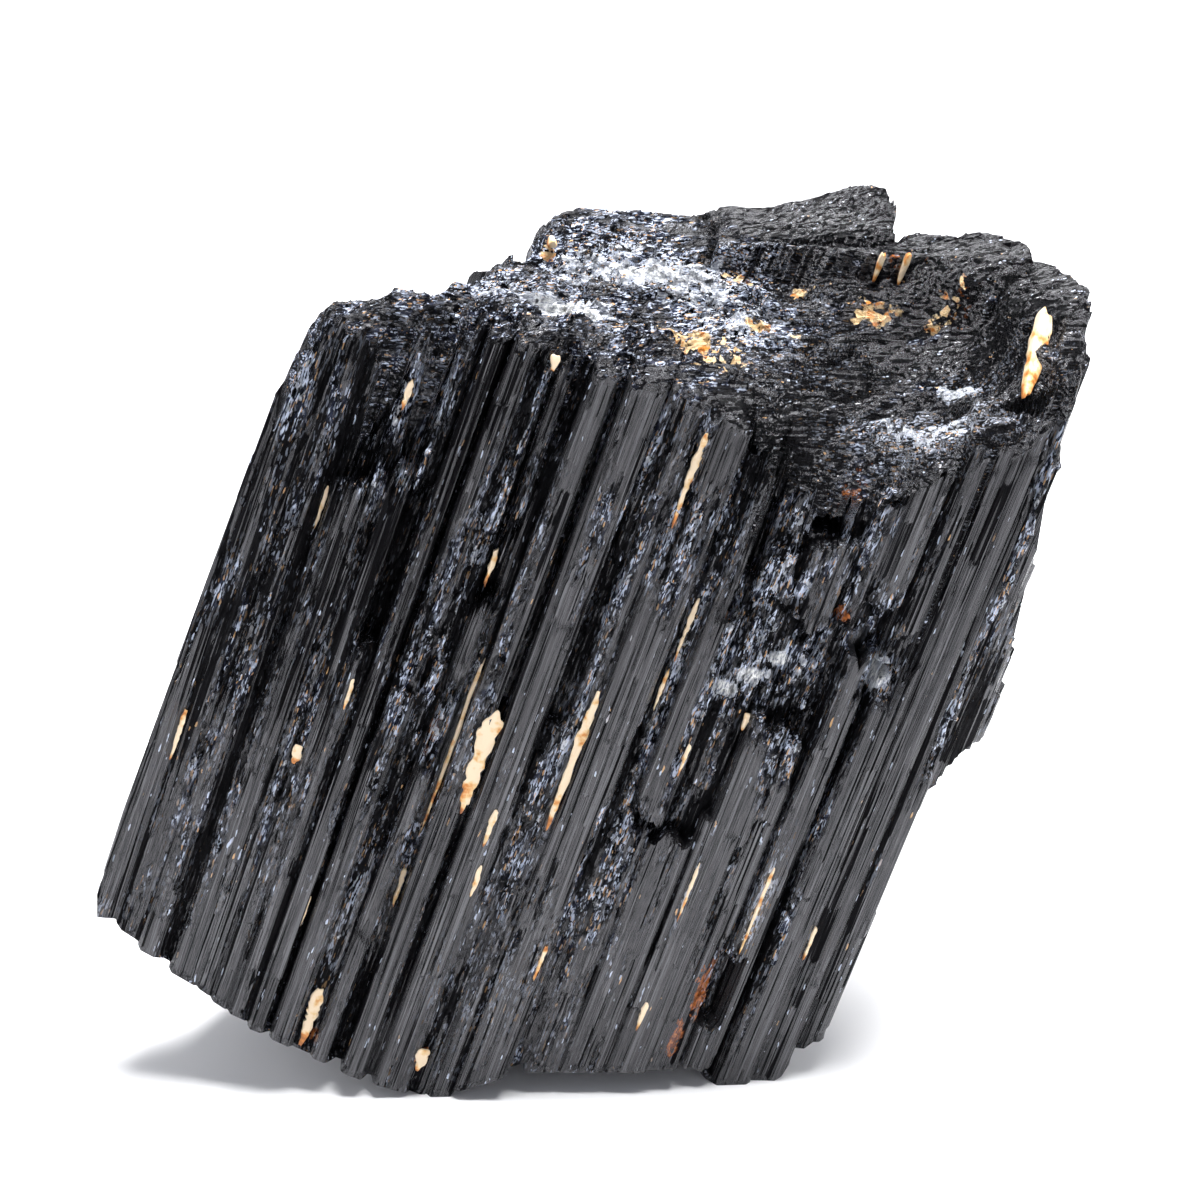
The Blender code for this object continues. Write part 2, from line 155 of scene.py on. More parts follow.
# Pieces broken out: corners, bottom, top, rise of both per mm of a.
PITS = [
    ([(11.8, -18), (13.9, -18), (14.2, -10.6), (12.2, -10.4)], 52.4, 56.2, 0.15),
    ([(-15.7, -18), (-14.4, -18), (-14.5, -12.2), (-15.5, -12.2)], 33, 45.5, 0.1),
    ([(8.4, -18), (9.5, -18), (9.4, -12.6), (8.6, -12.8)], 48.6, 53.6, -0.7),
    ([(17.2, -18), (18.8, -18), (18.7, -12.2), (17.4, -12.4)], 12.4, 18.6, 0.2),
    ([(20.6, -18), (22.4, -18), (22.2, -14), (20.9, -14)], 12.8, 15.8, 0.3),
    ([(-22.4, -18), (-20.8, -18), (-20.9, -12.9), (-22.2, -12.9)], 9.4, 14.6, 0.3),
    ([(26, -16), (36, -16), (36, -4.8), (27.6, -4.8)], 56.5, 96, -1.2),
    ([(8.6, -18), (16.6, -18), (15.4, -12.4), (9.4, -12.6)], 57, 59.6, 0.12),
]
BASE_BREAKS = [
    (0, FLOOR_SLOPE, 0), (-0.1, -0.03, 0), (-1.7, -0.2, -0.02), (-3.9, -0.34, -0.02), (-21.9, -1.06, 0),
    (-157, -5.9, 0), (-39.4, 1.95, 0), (-152, 6, 0), (-13, 0.1, 1),
]
CHIPS = [
    ([(3.4, -20), (18.6, -20), (17, -9.6), (6.4, -9.2)], (2, FLOOR_SLOPE, 0)),
    ([(0.8, -20), (6, -20), (7, -10.4), (3, -11.4)], (-0.3, 0.82, 0)),
    ([(17.2, -20), (21.6, -20), (19.4, -11), (16.4, -10.4)], (6.8, 0.03, 0)),
]
LEFT_TAPER = (923.6, 25.9, 15.2)
print(len(FRONT_RIBS), "front ribs,", len(TOP_BLOCKS + SIDE_BLOCKS), "named blocks,", len(CHIPS), "chips")

# %% [markdown]
# ## Ends and corners of a column
# A real column is a prism, broken off aslant. Here it is a flat outline and two tilted planes, because
# three numbers for a plane are all that is needed to ask later how high the column is at a point. The
# end planes of most columns follow the general slope of the broken top.

# %% Ends and corners of a column
def plane(height, rise_a=0.0, rise_b=0.0, at_a=0.0, at_b=0.0):
    """A slanting end: height at a = b = 0, rise per mm of a, rise per mm of b."""
    return (height - rise_a * at_a - rise_b * at_b, rise_a, rise_b)


def height_on(end, a, b):
    """Height of a slanting end above the point (a, b)."""
    return end[0] + end[1] * a + end[2] * b


def fracture_height(a, b):
    """Height of the broken top: straight from the front rim to the foot of the back ledges."""
    rim = np.interp(a, *zip(*FRONT_RIM))
    foot = np.interp(a, *zip(*LEDGE_FOOT))
    share = np.clip((b - FRONT_RIM_B) / (LEDGE_FOOT_B - FRONT_RIM_B), 0.0, 1.0)
    return rim + (foot - rim) * share


def fracture_plane(a, b, lift, tilt_a, tilt_b):
    """The end of a column at (a, b): the slope of the broken top, with the column's own lift and tilt."""
    step = 1.5
    slope_a = (fracture_height(a + step, b) - fracture_height(a - step, b)) / (2 * step)
    slope_b = (fracture_height(a, b + step) - fracture_height(a, b - step)) / (2 * step)
    return plane(fracture_height(a, b) + lift, slope_a + tilt_a, slope_b + tilt_b, a, b)


ALONG = np.roll(OUTLINE, -1, axis=0) - OUTLINE
SIDE_LENGTHS = np.linalg.norm(ALONG, axis=1)
ALONG /= SIDE_LENGTHS[:, None]
INWARD = np.stack([-ALONG[:, 1], ALONG[:, 0]], axis=1)
ACROSS, BACKWARDS = np.eye(2)


def inside_outline(a, b, margin):
    """Whether (a, b) lies inside the outline by more than the margin."""
    return bool((((np.array([a, b]) - OUTLINE) * INWARD).sum(axis=1) > margin).all())


def rib_corners(point, along, inward, width, recess, bevel, twist):
    """Six corners of a rib: a flat outer face, a bevel at each edge, and a root inside the core."""
    half = width / 2
    shoulder = recess + 1.4 * bevel
    roots = []
    for x in (half, -half):
        root = RIB_ROOT
        while root > shoulder + SHORTEST_ROOT:
            if inside_outline(*(point + along * x + inward * root), ROOT_MARGIN):
                break
            root -= 0.2
        roots.append(root)
    shape = [
        (-half + bevel, recess + twist),
        (half - bevel, recess - twist),
        (half, shoulder),
        (half, roots[0]),
        (-half, roots[1]),
        (-half, shoulder),
    ]
    return [tuple(point + along * x + inward * y) for x, y in shape]


print("sides of the outline, mm:", np.round(SIDE_LENGTHS, 1))

# %% [markdown]
# ## Ribs of the front and the sides
# The ribs of the front stand where the photograph shows them, so they come from the table. Those of
# the other sides aren't seen, and a seeded draw gives them the same look without a list by hand.

# %% Ribs
def front_ribs(rng):
    """The ribs of the front face, at the places in their table, with small random tilts."""
    draw = rng.uniform
    ribs = []
    front = OUTLINE[: FRONT_SIDES + 1]
    for left, right, recess, low, high in FRONT_RIBS:
        middle = (left + right) / 2
        point = np.array([middle, np.interp(middle, front[:, 0], front[:, 1])])
        width = right - left
        bevel = min(0.3, 0.2 * width)
        corners = rib_corners(point, ACROSS, BACKWARDS, width, recess, bevel, draw(-0.08, 0.08))
        bottom = plane(FULL_LENGTH) if low is None else plane(low, draw(-0.3, 0.6), 0.3, *point)
        if high is None:
            top = fracture_plane(*point, draw(-0.5, 0.4), draw(-0.1, 0.1), draw(0.0, 0.25))
        else:
            top = plane(high, draw(-0.2, 0.6), draw(0.0, 0.4), *point)
        ribs.append((corners, bottom, top))
    return ribs


def side_ribs(rng):
    """Ribs of random widths round the sides and the back; some are broken short at an end."""
    draw = rng.uniform
    ribs = []
    for side in range(FRONT_SIDES, len(OUTLINE)):
        start, along, inward, length = OUTLINE[side], ALONG[side], INWARD[side], SIDE_LENGTHS[side]
        widths = []
        while sum(widths) < length - 1.0:
            widths.append(rng.choice([1.5, 2.2, 3.0, 4.2]) * draw(0.85, 1.15))
        widths = np.array(widths) * length / sum(widths)
        for middle, width in zip(np.cumsum(widths) - widths / 2, widths):
            point = start + along * middle
            recess = rng.choice([0.0, 0.3, 0.6, 1.0]) + draw(0.0, 0.2)
            bevel = 0.12 * width
            corners = rib_corners(point, along, inward, 1.05 * width, recess, bevel, draw(-0.12, 0.12))
            bottom = plane(FULL_LENGTH)
            top = fracture_plane(*point, draw(-0.9, 0.4), draw(-0.15, 0.15), draw(-0.15, 0.15))
            broken = rng.random()
            if broken < 0.22:
                top = plane(draw(24.0, 50.0), draw(-0.5, 0.5), draw(-0.3, 0.3), *point)
            elif broken < 0.4:
                bottom = plane(draw(14.0, 36.0), draw(-0.5, 0.5), draw(-0.3, 0.3), *point)
            ribs.append((corners, bottom, top))
    return ribs


# %% [markdown]
# ## Blocks of the broken top
# Inside the bundle only the broken ends show. Staggered six-sided blocks of uneven height stand in
# for them, and the named blocks of the top are added from their table.

# %% Blocks and the whole bundle
def fracture_blocks(rng):
    """Six-sided blocks in staggered rows, whose slanting ends make the broken top uneven."""
    draw = rng.uniform
    spacing = 5.0
    blocks = []
    for row, b in enumerate(np.arange(-12.0, 16.0, spacing * 0.87)):
        for a in np.arange(-27.0, 29.0, spacing) + (row % 2) * spacing / 2:
            centre = np.array([a, b]) + draw(-0.8, 0.8, 2)
            angles = draw(0.0, math.tau) + math.tau * (np.arange(6) + draw(-0.2, 0.2, 6)) / 6
            reach = spacing * draw(0.62, 0.92, 6)
            lift = draw(-0.7, 0.6)
            tilt = draw(-0.2, 0.2, 2)
            if not inside_outline(*centre, BLOCK_MARGIN + 0.8):
                continue
            corners = []
            for angle, distance in zip(angles, reach):
                ray = np.array([math.cos(angle), math.sin(angle)])
                while not inside_outline(*(centre + distance * ray), BLOCK_MARGIN):
                    distance -= 0.25
                corners.append(tuple(centre + distance * ray))
            blocks.append((corners, plane(BLOCK_FOOT), fracture_plane(*centre, lift, *tilt)))
    return blocks


def inset_outline(inset):
    """The outline moved inwards, corner by corner, along the mean of its two sides' normals."""
    mean = INWARD + np.roll(INWARD, 1, axis=0)
    mean /= (mean * INWARD).sum(axis=1)[:, None]
    return OUTLINE + inset * mean


def slanted(corners, *ends):
    """Slanting ends about the corners' middle, from pairs of height and rise per mm of a."""
    middle = np.mean(corners, axis=0)[0]
    return [plane(height, rise, 0.0, middle) for height, rise in ends]


rng = np.random.default_rng(SEED)
columns = front_ribs(rng) + side_ribs(rng) + fracture_blocks(rng)
for corners, *end in TOP_BLOCKS:
    columns.append((corners, plane(BLOCK_FOOT), plane(*end)))
for corners, low, low_rise, high, high_rise in SIDE_BLOCKS:
    columns.append((corners, *slanted(corners, (low, low_rise), (high, high_rise))))
core_top = fracture_plane(0.0, CORE_B, -CORE_DROP, 0.0, 0.0)
columns.append((inset_outline(CORE_INSET), plane(FULL_LENGTH), core_top))
pits = [(corners, *slanted(corners, (low, rise), (high, rise))) for corners, low, high, rise in PITS]
print(len(columns), "columns and blocks,", len(pits), "pits")

# %% [markdown]
# ## Noise for broken rock
# Three kinds of relief are needed, all from one whole-number hash, so that they come out the same each
# time: smooth noise, bars that run along the columns, and facets, which are small tilted planes as on
# broken rock.

# %% Noise, bars and facets
def hashed(i, j, salt):
    """A number from 0 to 1 for each pair of whole numbers."""
    n = (i.astype(np.int64) * 374761393 + j.astype(np.int64) * 668265263 + salt * 974634777) & 0xFFFFFFFF
    n = ((n ^ (n >> 13)) * 1274126177) & 0xFFFFFFFF
    n = ((n ^ (n >> 16)) * 2246822519) & 0xFFFFFFFF
    return ((n ^ (n >> 15)) & 0xFFFFFF) / 16777216.0


def noise(x, y, salt):
    """Smooth noise from -1 to 1: hashed values on a square grid, eased between its corners."""
    i, j = np.floor(x), np.floor(y)
    u, v = x - i, y - j
    u, v = u * u * (3 - 2 * u), v * v * (3 - 2 * v)
    low = hashed(i, j, salt) * (1 - u) + hashed(i + 1, j, salt) * u
    high = hashed(i, j + 1, salt) * (1 - u) + hashed(i + 1, j + 1, salt) * u
    return 2 * (low * (1 - v) + high * v) - 1


def layered(x, y, salt, layers=4):
    """Several noises added, each half as strong and twice as fine as the one before."""
    return sum(noise(x * 2**n, y * 2**n, salt + n) / 2**n for n in range(layers)) / 1.6


def bars(s, h, width, length, salt):
    """Steps from -1 to 1 that are narrow across the column and long along it, with uneven widths."""
    u = s / width + 0.45 * noise(s / width * 0.61, s * 0, salt + 5)
    i = np.floor(u)
    shift = hashed(i, i * 0, salt + 1)
    j = np.floor(h / length + 3 * shift)
    level = 2 * hashed(i, j, salt) - 1
    return level + (u - i - 0.5) * (2 * hashed(i, j, salt + 2) - 1)


def facets(x, y, size, salt, tilt=1.0):
    """Broken-rock relief: each point takes the level and tilt of the nearest jittered seed."""
    u, v = x / size, y / size
    i0, j0 = np.floor(u), np.floor(v)
    nearest = np.full(u.shape, 9.0)
    relief = np.zeros(u.shape)
    for di in (-1, 0, 1):
        for dj in (-1, 0, 1):
            i, j = i0 + di, j0 + dj
            du = u - i - hashed(i, j, salt)
            dv = v - j - hashed(i, j, salt + 1)
            distance = du * du + dv * dv
            slope_u = 2 * hashed(i, j, salt + 2) - 1
            slope_v = 2 * hashed(i, j, salt + 3) - 1
            level = 2 * hashed(i, j, salt + 4) - 1 + tilt * (slope_u * du + slope_v * dv)
            relief = np.where(distance < nearest, level, relief)
            nearest = np.minimum(nearest, distance)
    return relief


def ramp(x, low, high):
    """0 below low, 1 above high, eased between."""
    u = np.clip((x - low) / (high - low), 0.0, 1.0)
    return u * u * (3 - 2 * u)


print("smooth noise along a line:", np.round(layered(np.arange(5) / 3, np.zeros(5), 1), 2))

# %% [markdown]
# ## Where the surface runs
# The surface is a grid. A grid column stands at each step round the outline and looks inwards along the
# outline's normal. A row goes up: first out from the middle of the base, then up the side, then in to
# the middle of the top. Four sectors share the work, and each is closed down the middle of the block.

# %% Grid columns round the outline
LOOK_IN = 7.0  # how far inside the outline each look starts, mm
FALLBACK = 2.6  # how far inside it the side lies where no column is found, mm
FAR = 1e9
COLUMNS_EACH = 262
BASE_ROWS, SIDE_ROWS, TOP_ROWS = 24, 200, 118
GAP_REACH = 10  # grid columns on each side that a gap is measured against
TAPER_RIM = 57.0  # height at which the left taper meets the rim, mm
POLE = np.array([2.0, 1.0])  # a and b of the line down the middle of the block
LOWEST_TOP = 40.0  # column ends below this aren't part of the broken top, mm

ARC = np.concatenate([[0.0], np.cumsum(SIDE_LENGTHS)])
PERIMETER = ARC[-1]
SEAM_SHARE = 0.85625  # the front seam's place along the outline's second side, in a dark groove
FRONT_SEAM = ARC[1] + SEAM_SHARE * SIDE_LENGTHS[1]
SEAMS = [0.0, FRONT_SEAM, ARC[4], ARC[10], PERIMETER]
print("the four sectors begin at, mm round the outline:", np.round(SEAMS[:-1], 1))


def along_outline(s):
    """Point of the outline at arc length s, and the outward direction there.

    The direction turns evenly over a stretch at each corner, wide enough that no two of the inward
    looks cross within LOOK_IN."""
    closed = np.vstack([OUTLINE, OUTLINE[:1]])
    point = np.stack([np.interp(s, ARC, closed[:, k]) for k in (0, 1)], axis=1)
    facing = np.arctan2(-INWARD[:, 1], -INWARD[:, 0])
    turn = np.mod(facing - np.roll(facing, 1) + math.pi, 2 * math.pi) - math.pi
    reach = np.maximum(1.5, 0.6 * LOOK_IN * turn)
    angle = np.full(s.shape, facing[-1])
    for corner, change, half in zip([*ARC[:-1], PERIMETER], [*turn, turn[0]], [*reach, reach[0]]):
        angle = angle + change * np.clip((s - corner + half) / (2 * half), 0.0, 1.0)
    return point, np.stack([np.cos(angle), np.sin(angle)], axis=1)


# %% [markdown]
# ## Asking the columns
# The fine surface needs two answers from each column: how far out it reaches along a ray, and how
# high its end is above a point. Both are worked out for whole arrays of rays or points at once.

# %% Rays and heights
def winding(corners):
    """1 for corners listed anticlockwise and -1 for clockwise: the sign of sum(a b' - b a')."""
    following = np.roll(corners, -1, axis=0)
    return np.sign(np.sum(corners[:, 0] * following[:, 1] - corners[:, 1] * following[:, 0]))


def through(corners, start, ray):
    """Where rays enter and leave a convex outline, as distances from their starts."""
    corners = np.array(corners)
    edge = np.roll(corners, -1, axis=0) - corners
    outward = np.stack([edge[:, 1], -edge[:, 0]], axis=1) * winding(corners)
    enter = np.full(len(start), -FAR)
    leave = np.full(len(start), FAR)
    for corner, normal in zip(corners, outward):
        room = (corner - start) @ normal
        speed = ray @ normal
        parallel = np.abs(speed) < 1e-12
        with np.errstate(divide="ignore", invalid="ignore"):
            distance = np.where(parallel, np.where(room >= 0, FAR, -FAR), room / speed)
        leave = np.where(speed > 0, np.minimum(leave, distance), leave)
        enter = np.where(speed < 0, np.maximum(enter, distance), enter)
        leave = np.where(parallel & (room < 0), -FAR, leave)
    return enter, leave


def inside(corners, a, b):
    """Whether each point (a, b) lies on the inner side of every edge of a convex outline."""
    corners = np.array(corners)
    turn = winding(corners)
    found = np.ones(a.shape, bool)
    for (a0, b0), (a1, b1) in zip(corners, np.roll(corners, -1, axis=0)):
        found &= turn * ((a1 - a0) * (b - b0) - (b1 - b0) * (a - a0)) >= 0
    return found


def top_height(a, b):
    """Height of the broken top: the highest column end at each point, less what the pits take."""
    height = np.full(a.shape, -FAR)
    for corners, _, top in columns:
        height = np.where(inside(corners, a, b), np.maximum(height, height_on(top, a, b)), height)
    height = np.where(height < LOWEST_TOP, fracture_height(a, b) - 1.5, height)
    for corners, low, high in pits:
        floor, roof = height_on(low, a, b), height_on(high, a, b)
        cut = inside(corners, a, b) & (height > floor) & (height < roof)
        height = np.where(cut, floor, height)
    return np.minimum(height, height_on(LEFT_TAPER, a, b))


def base_height(a, b):
    """Height of the broken base: the highest of its break planes, and the chips of its front edge."""
    height = np.max([height_on(end, a, b) for end in BASE_BREAKS], axis=0)
    for corners, end in CHIPS:
        height = np.where(inside(corners, a, b), np.maximum(height, height_on(end, a, b)), height)
    return height


middle = np.split(POLE, 2)
print("at its middle the block reaches, mm:", base_height(*middle).round(1), top_height(*middle).round(1))

# %% [markdown]
# ## Rough bands, mineral traces and painted shade
# The front face alternates between glassy ribs and rough, granular bands. These tables say where the
# rough bands and the coloured minerals lie, and where shade is painted into the dark hollows.

# %% Where the minerals lie and where shade is painted
# Rough bands of the front: left a, right a, lower h, upper h, strength.
ROUGH_BANDS = [
    (-25.6, -20.4, 8, 58, 0.45), (-20.4, -17.4, 45, 58, 1), (-17.2, -15.4, 46, 60, 1),
    (-16, -14, 33, 46, 0.6), (-10.7, -9, 18, 59, 0.95), (-9.1, -7.7, 26, 33, 1),
    (-1.4, 1.1, 8, 52, 0.8), (5.1, 7.1, 8, 57, 0.8), (9.3, 12.4, 49, 58, 1), (8.8, 13.4, 43.5, 49.5, 1),
    (8.6, 16.2, 36, 45, 0.9), (14.8, 18.2, 33, 46, 1), (19.2, 22.3, 41, 46.5, 1), (26.8, 30, 36, 62, 1),
    (4.8, 8.4, 16, 28, 0.9), (17, 19, 12, 19, 0.8), (17.6, 20.6, 45.5, 50.5, 0.8),
    (-28, -25, 0, 8, 0.5), (-22.6, -20.4, 8, 16, 0.9),
]
# Traces on the broken top: a, b, radius along a, radius along b, strength.
TOP_DUST = [
    (-8.9, -7.4, 4, 2.8, 1.15), (-3, 2.2, 8, 3, 0.95), (0.5, 5, 4.5, 2.4, 0.8), (-16, -5, 10, 6, 0.6),
    (4, -1.5, 5.5, 5, 0.62), (-4, 6, 6, 2, 0.6), (20, -4.7, 1.8, 1.1, 0.9), (17.5, -11, 5, 1.6, 0.7),
    (-4.5, 11, 4, 3, 0.35),
]
TOP_CREAM = [
    (0.6, -7, 4, 3.2, 0.8), (1, -6.2, 1.4, 2.4, 1), (2.8, -5.2, 1.2, 1, 0.95),
    (5.6, -1, 1.8, 1.6, 0.66), (1.5, -11.5, 1.6, 1.2, 0.7), (13.6, 2.6, 2, 0.8, 0.85),
    (18.6, 3.2, 1.4, 1, 0.66), (8, -1, 1.2, 1, 0.6), (-10.4, 4.4, 0.8, 0.7, 0.8),
    (3.8, 5.6, 1.2, 0.6, 1), (8.6, 5.1, 0.7, 0.5, 0.95),
]
TOP_RUST = [
    (14, -13.6, 1.1, 0.9, 0.72), (14.5, 6.4, 3, 0.9, 0.5), (19.6, 2.4, 1.2, 1.2, 0.7),
    (3.9, 5.6, 1.4, 0.7, 0.6),
]
# Traces on the front: a, h, radius across, radius along, strength.
FRONT_DUST = [
    (10.4, 38.8, 1.1, 0.7, 1.3), (12, 40.3, 1.2, 0.7, 1.35), (13.6, 41.8, 0.9, 0.6, 1.3),
    (20.8, 43, 1, 1.3, 1.15), (18.7, 22.5, 0.5, 4.5, 0.7), (-17.3, 23.8, 0.3, 0.8, 1),
    (13.1, 22.8, 0.14, 2.4, 1), (23.5, 20.5, 0.2, 1.6, 0.8), (-10.2, 14, 0.7, 9, 0.45),
    (-10, 43.5, 0.7, 2.6, 0.6), (10.6, 52.6, 1, 2.2, 0.5), (1, 10, 3, 5, 0.3),
]
FRONT_RUST = [
    (17.5, 14.8, 1.1, 2.8, 1.1), (16.5, 10.4, 0.6, 2.2, 0.9), (14, 56, 0.8, 0.7, 0.72),
    (-1.2, 3, 0.6, 1, 0.9), (-9.3, 2.2, 0.4, 1, 0.8), (-8.6, 29.5, 0.6, 3, 0.7),
    (16.5, 47, 0.6, 0.8, 1), (6.2, 40, 0.6, 5, 0.5), (-24, 50, 1.2, 6, 0.3),
]
# Painted shade in the dark hollows of the top: a, b, radius along a, radius along b, strength.
TOP_SHADE_SPOTS = [
    (9, -9.5, 3.4, 2.6, 0.9), (9.5, -13.6, 4.5, 1.6, 0.9), (6.5, 4.6, 4, 0.8, 0.7),
    (22, -2, 1.6, 2, 0.7),
]
# Painted shade in the dark hollows of the front: a, h, radius across, radius along, strength.
FRONT_SHADE_SPOTS = [
    (9.5, 56.6, 4.4, 1.7, 1), (12.6, 54.3, 0.8, 1.5, 1), (8.5, 51, 0.6, 2.6, 1), (-15, 39, 0.8, 6.5, 1),
    (-0.6, 39, 0.7, 6.5, 0.9), (20.2, 30, 0.3, 11, 1), (-21.2, 31, 0.5, 12, 0.9),
    (17.4, 47, 1.2, 0.8, 0.8), (12.9, 46.8, 1.6, 0.7, 0.8), (-12.9, 35, 0.35, 26, 1),
    (-4.5, 44, 0.35, 12, 1),
]
print(len(ROUGH_BANDS), "rough bands,", len(TOP_SHADE_SPOTS + FRONT_SHADE_SPOTS), "hollows")


def spots(x, y, table):
    """The strongest of the listed soft ellipses: strength * exp(-0.7 * squared relative distance)."""
    field = np.zeros(x.shape)
    for at_x, at_y, reach_x, reach_y, strength in table:
        distance = ((x - at_x) / reach_x) ** 2 + ((y - at_y) / reach_y) ** 2
        field = np.maximum(field, strength * np.exp(-0.7 * distance))
    return field


def bands(x, y, table):
    """The strongest of the listed soft-edged rectangles at each point."""
    field = np.zeros(x.shape)
    for left, right, low, high, strength in table:
        across = ramp(x, left - 0.25, left + 0.25) * ramp(-x, -right - 0.25, -right + 0.25)
        along = ramp(y, low - 1.0, low + 1.0) * ramp(-y, -high - 1.0, -high + 1.0)
        field = np.maximum(field, strength * across * along)
    return field


# %% [markdown]
# ## Relief of the side and of the top
# Striations are shallow steps along the column, and rough bands are small tilted facets. The top is
# made of broken steps, with crevices between thin leaves on its right. A bump in the material could
# only shade them; here they are cut into the surface, so that they also show at its edges.

# %% Relief
def side_relief(s, a, h, rough):
    """How far the side is cut back: striations on the glassy ribs, facets and pits on the rough bands."""
    upper_left = ramp(-a, 8.0, 16.0) * ramp(h, 14.0, 34.0)
    threads = 0.1 * bars(s, h, 0.55, 24, 12) + 0.06 * bars(s, h, 0.24, 16, 13)
    ribbed = 0.14 * bars(s, h, 1.3, 30, 11) + (1 + 0.9 * upper_left) * threads
    hackly = 0.3 * facets(s, h / 3.2, 0.9, 21) + 0.2 * facets(s, h / 2.2, 0.45, 22)
    hackly = hackly + 0.35 * layered(s / 1.4, h / 6.0, 23)
    return ribbed * (1 - 0.4 * rough) - 0.12 + rough * (hackly - 0.35)


# Smooth breaks and the steep cliff: a, b, radius along a, radius along b, strength.
SMOOTH_BREAKS = [(8, 13.5, 7, 3.6, 1), (20, 9, 3, 3, 0.6), (25.5, 3, 1.6, 5, 0.6)]
CLIFF = [(9, 7.5, 9, 1.6, 1)]
RING_POINTS, RING_RADIUS = 7, 0.9


def broken_top(a, b):
    """Height of the fine broken top, how smooth it is, and a mask of its crevices that gets painted
    shade.

    The blocks' heights are averaged over a ring of nearby points, so that steps become slopes except
    along the cliff. Facets of three sizes are added, fainter where the break is smooth, and on the
    right long thin leaves that run aslant, as the photo shows them."""
    smooth = spots(a, b, SMOOTH_BREAKS)
    cliff = spots(a, b, CLIFF)
    flute = 0.45 * noise(a / 0.42, b / 6.0, 53) + 0.2 * noise(a / 0.16, b / 6.0, 54)
    wander_a = 0.5 * layered(a / 1.6, b / 1.6, 51)
    wander_b = 0.5 * layered(a / 1.6, b / 1.6, 52)
    sharp = top_height(a + wander_a * (1 - cliff), b + wander_b * (1 - cliff) + flute * cliff)
    soft = np.zeros(a.shape)
    for turn in np.arange(RING_POINTS) * 2 * math.pi / RING_POINTS:
        ring_a = a + wander_a + RING_RADIUS * math.cos(turn)
        soft += top_height(ring_a, b + wander_b + RING_RADIUS * math.sin(turn)) / RING_POINTS
    keep = np.clip(0.35 + cliff + 0.65 * smooth + 0.45 * ramp(a, 16.0, 20.0), 0.0, 1.0)
    height = keep * sharp + (1 - keep) * soft
    depths = [(a - at[0]) * into[0] + (b - at[1]) * into[1] for at, into in zip(OUTLINE, INWARD)]
    inner = np.min(depths, axis=0)
    calm = 0.45 + 0.55 * ramp(inner, 1.0, 4.0)
    coarse = 0.34 * facets(a, b, 3.0, 31, 1.8) + 0.18 * facets(a, b, 1.3, 32, 1.8)
    fine = 0.06 * facets(a, b, 0.55, 33, 1.8) + 0.1 * layered(a / 0.9, b / 0.9, 34)
    u, v = 0.8 * a + 0.6 * b, 0.8 * b - 0.6 * a
    v = v + 0.8 * noise(u / 3.5, v / 3.5, 35)
    leaves = 0.7 * bars(v, u, 1.5, 7, 38) + 0.4 * noise(v / 0.5, u / 3.2, 36)
    leaves = leaves + 0.16 * noise(v / 0.24, u / 1.8, 37)
    folded = ramp(a, 6.0, 11.0) * ramp(-b, -5.0, -2.0)
    relief = (coarse + fine) * (1 - 0.5 * folded) + leaves * (0.25 + 0.75 * folded)
    # painted shade: where the relief dips, the mirror is later taken away, so these crevices look
    # shadowed
    crevice_shade = ramp(-relief, 0.0, 0.4) * (1 - smooth)
    return height + relief * calm * (1 - 0.8 * smooth) * (1 - 0.7 * cliff) + 0.2, smooth, crevice_shade


print("relief at the middle of the top, mm:", (broken_top(*middle)[0] - top_height(*middle)).round(2))

# %% [markdown]
# ## How far out the side lies
# Each grid column looks outwards from its start inside the block and asks every column of the bundle
# how far it reaches at that height. The farthest answer is the surface, less what the pits and the
# left taper cut away.

# %% Reach of the side
def points_out(looks, t):
    """The points at distance t along the looks, as a and b."""
    start, normal = looks
    return (start + t[:, None] * normal).T


def taper_distance(looks, h, otherwise):
    """How far out each look meets the left taper at height h, or otherwise where it looks away."""
    start, normal = looks
    speed = -(LEFT_TAPER[1] * normal[:, 0] + LEFT_TAPER[2] * normal[:, 1])
    room = height_on(LEFT_TAPER, *start.T) - h
    return np.where(speed > 1.0, room / np.maximum(speed, 1.0), otherwise)


def rim_distance(looks, spans):
    """How far out the rim of the top lies: the farthest column that ends near the top's height."""
    rim_t = np.full(len(looks[0]), LOOK_IN - FALLBACK)
    inner_h = top_height(*points_out(looks, rim_t))
    for (_, _, top), (enter, leave) in zip(columns, spans):
        end = height_on(top, *points_out(looks, leave))
        better = (leave > enter) & (leave > rim_t) & (end > inner_h - 2.5)
        rim_t = np.where(better, leave, rim_t)
    return np.minimum(rim_t, taper_distance(looks, TAPER_RIM, LOOK_IN)) - 0.02


def side_distance(looks, spans, h, level):
    """How far out the side lies at heights h; level is h made uneven, so that breaks are ragged."""
    t = np.full(h.shape, LOOK_IN - FALLBACK)
    for (_, bottom, top), (enter, leave) in zip(columns, spans):
        valid = (leave > enter) & (leave > 0) & (leave < LOOK_IN + 6)
        at = points_out(looks, np.where(valid, leave, 0.0))
        within = (level >= height_on(bottom, *at)) & (level <= height_on(top, *at) + 0.02)
        t = np.where(valid & within, np.maximum(t, leave), t)
    for corners, low, high in pits:
        enter, leave = through(corners, *looks)
        valid = (leave > enter) & (leave > 0)
        at = points_out(looks, np.where(valid, enter, 0.0))
        within = (level > height_on(low, *at)) & (level < height_on(high, *at))
        t = np.where(valid & within, np.minimum(t, np.maximum(enter, 1.0)), t)
    return np.minimum(t, taper_distance(looks, h, FAR))


seam, facing = along_outline(np.array([FRONT_SEAM]))
seam_looks = (seam - LOOK_IN * facing, facing)
seam_rim = rim_distance(seam_looks, [through(corners, *seam_looks) for corners, _, _ in columns])
print("at the front seam the rim lies inside the outline by, mm:", (LOOK_IN - seam_rim).round(2))
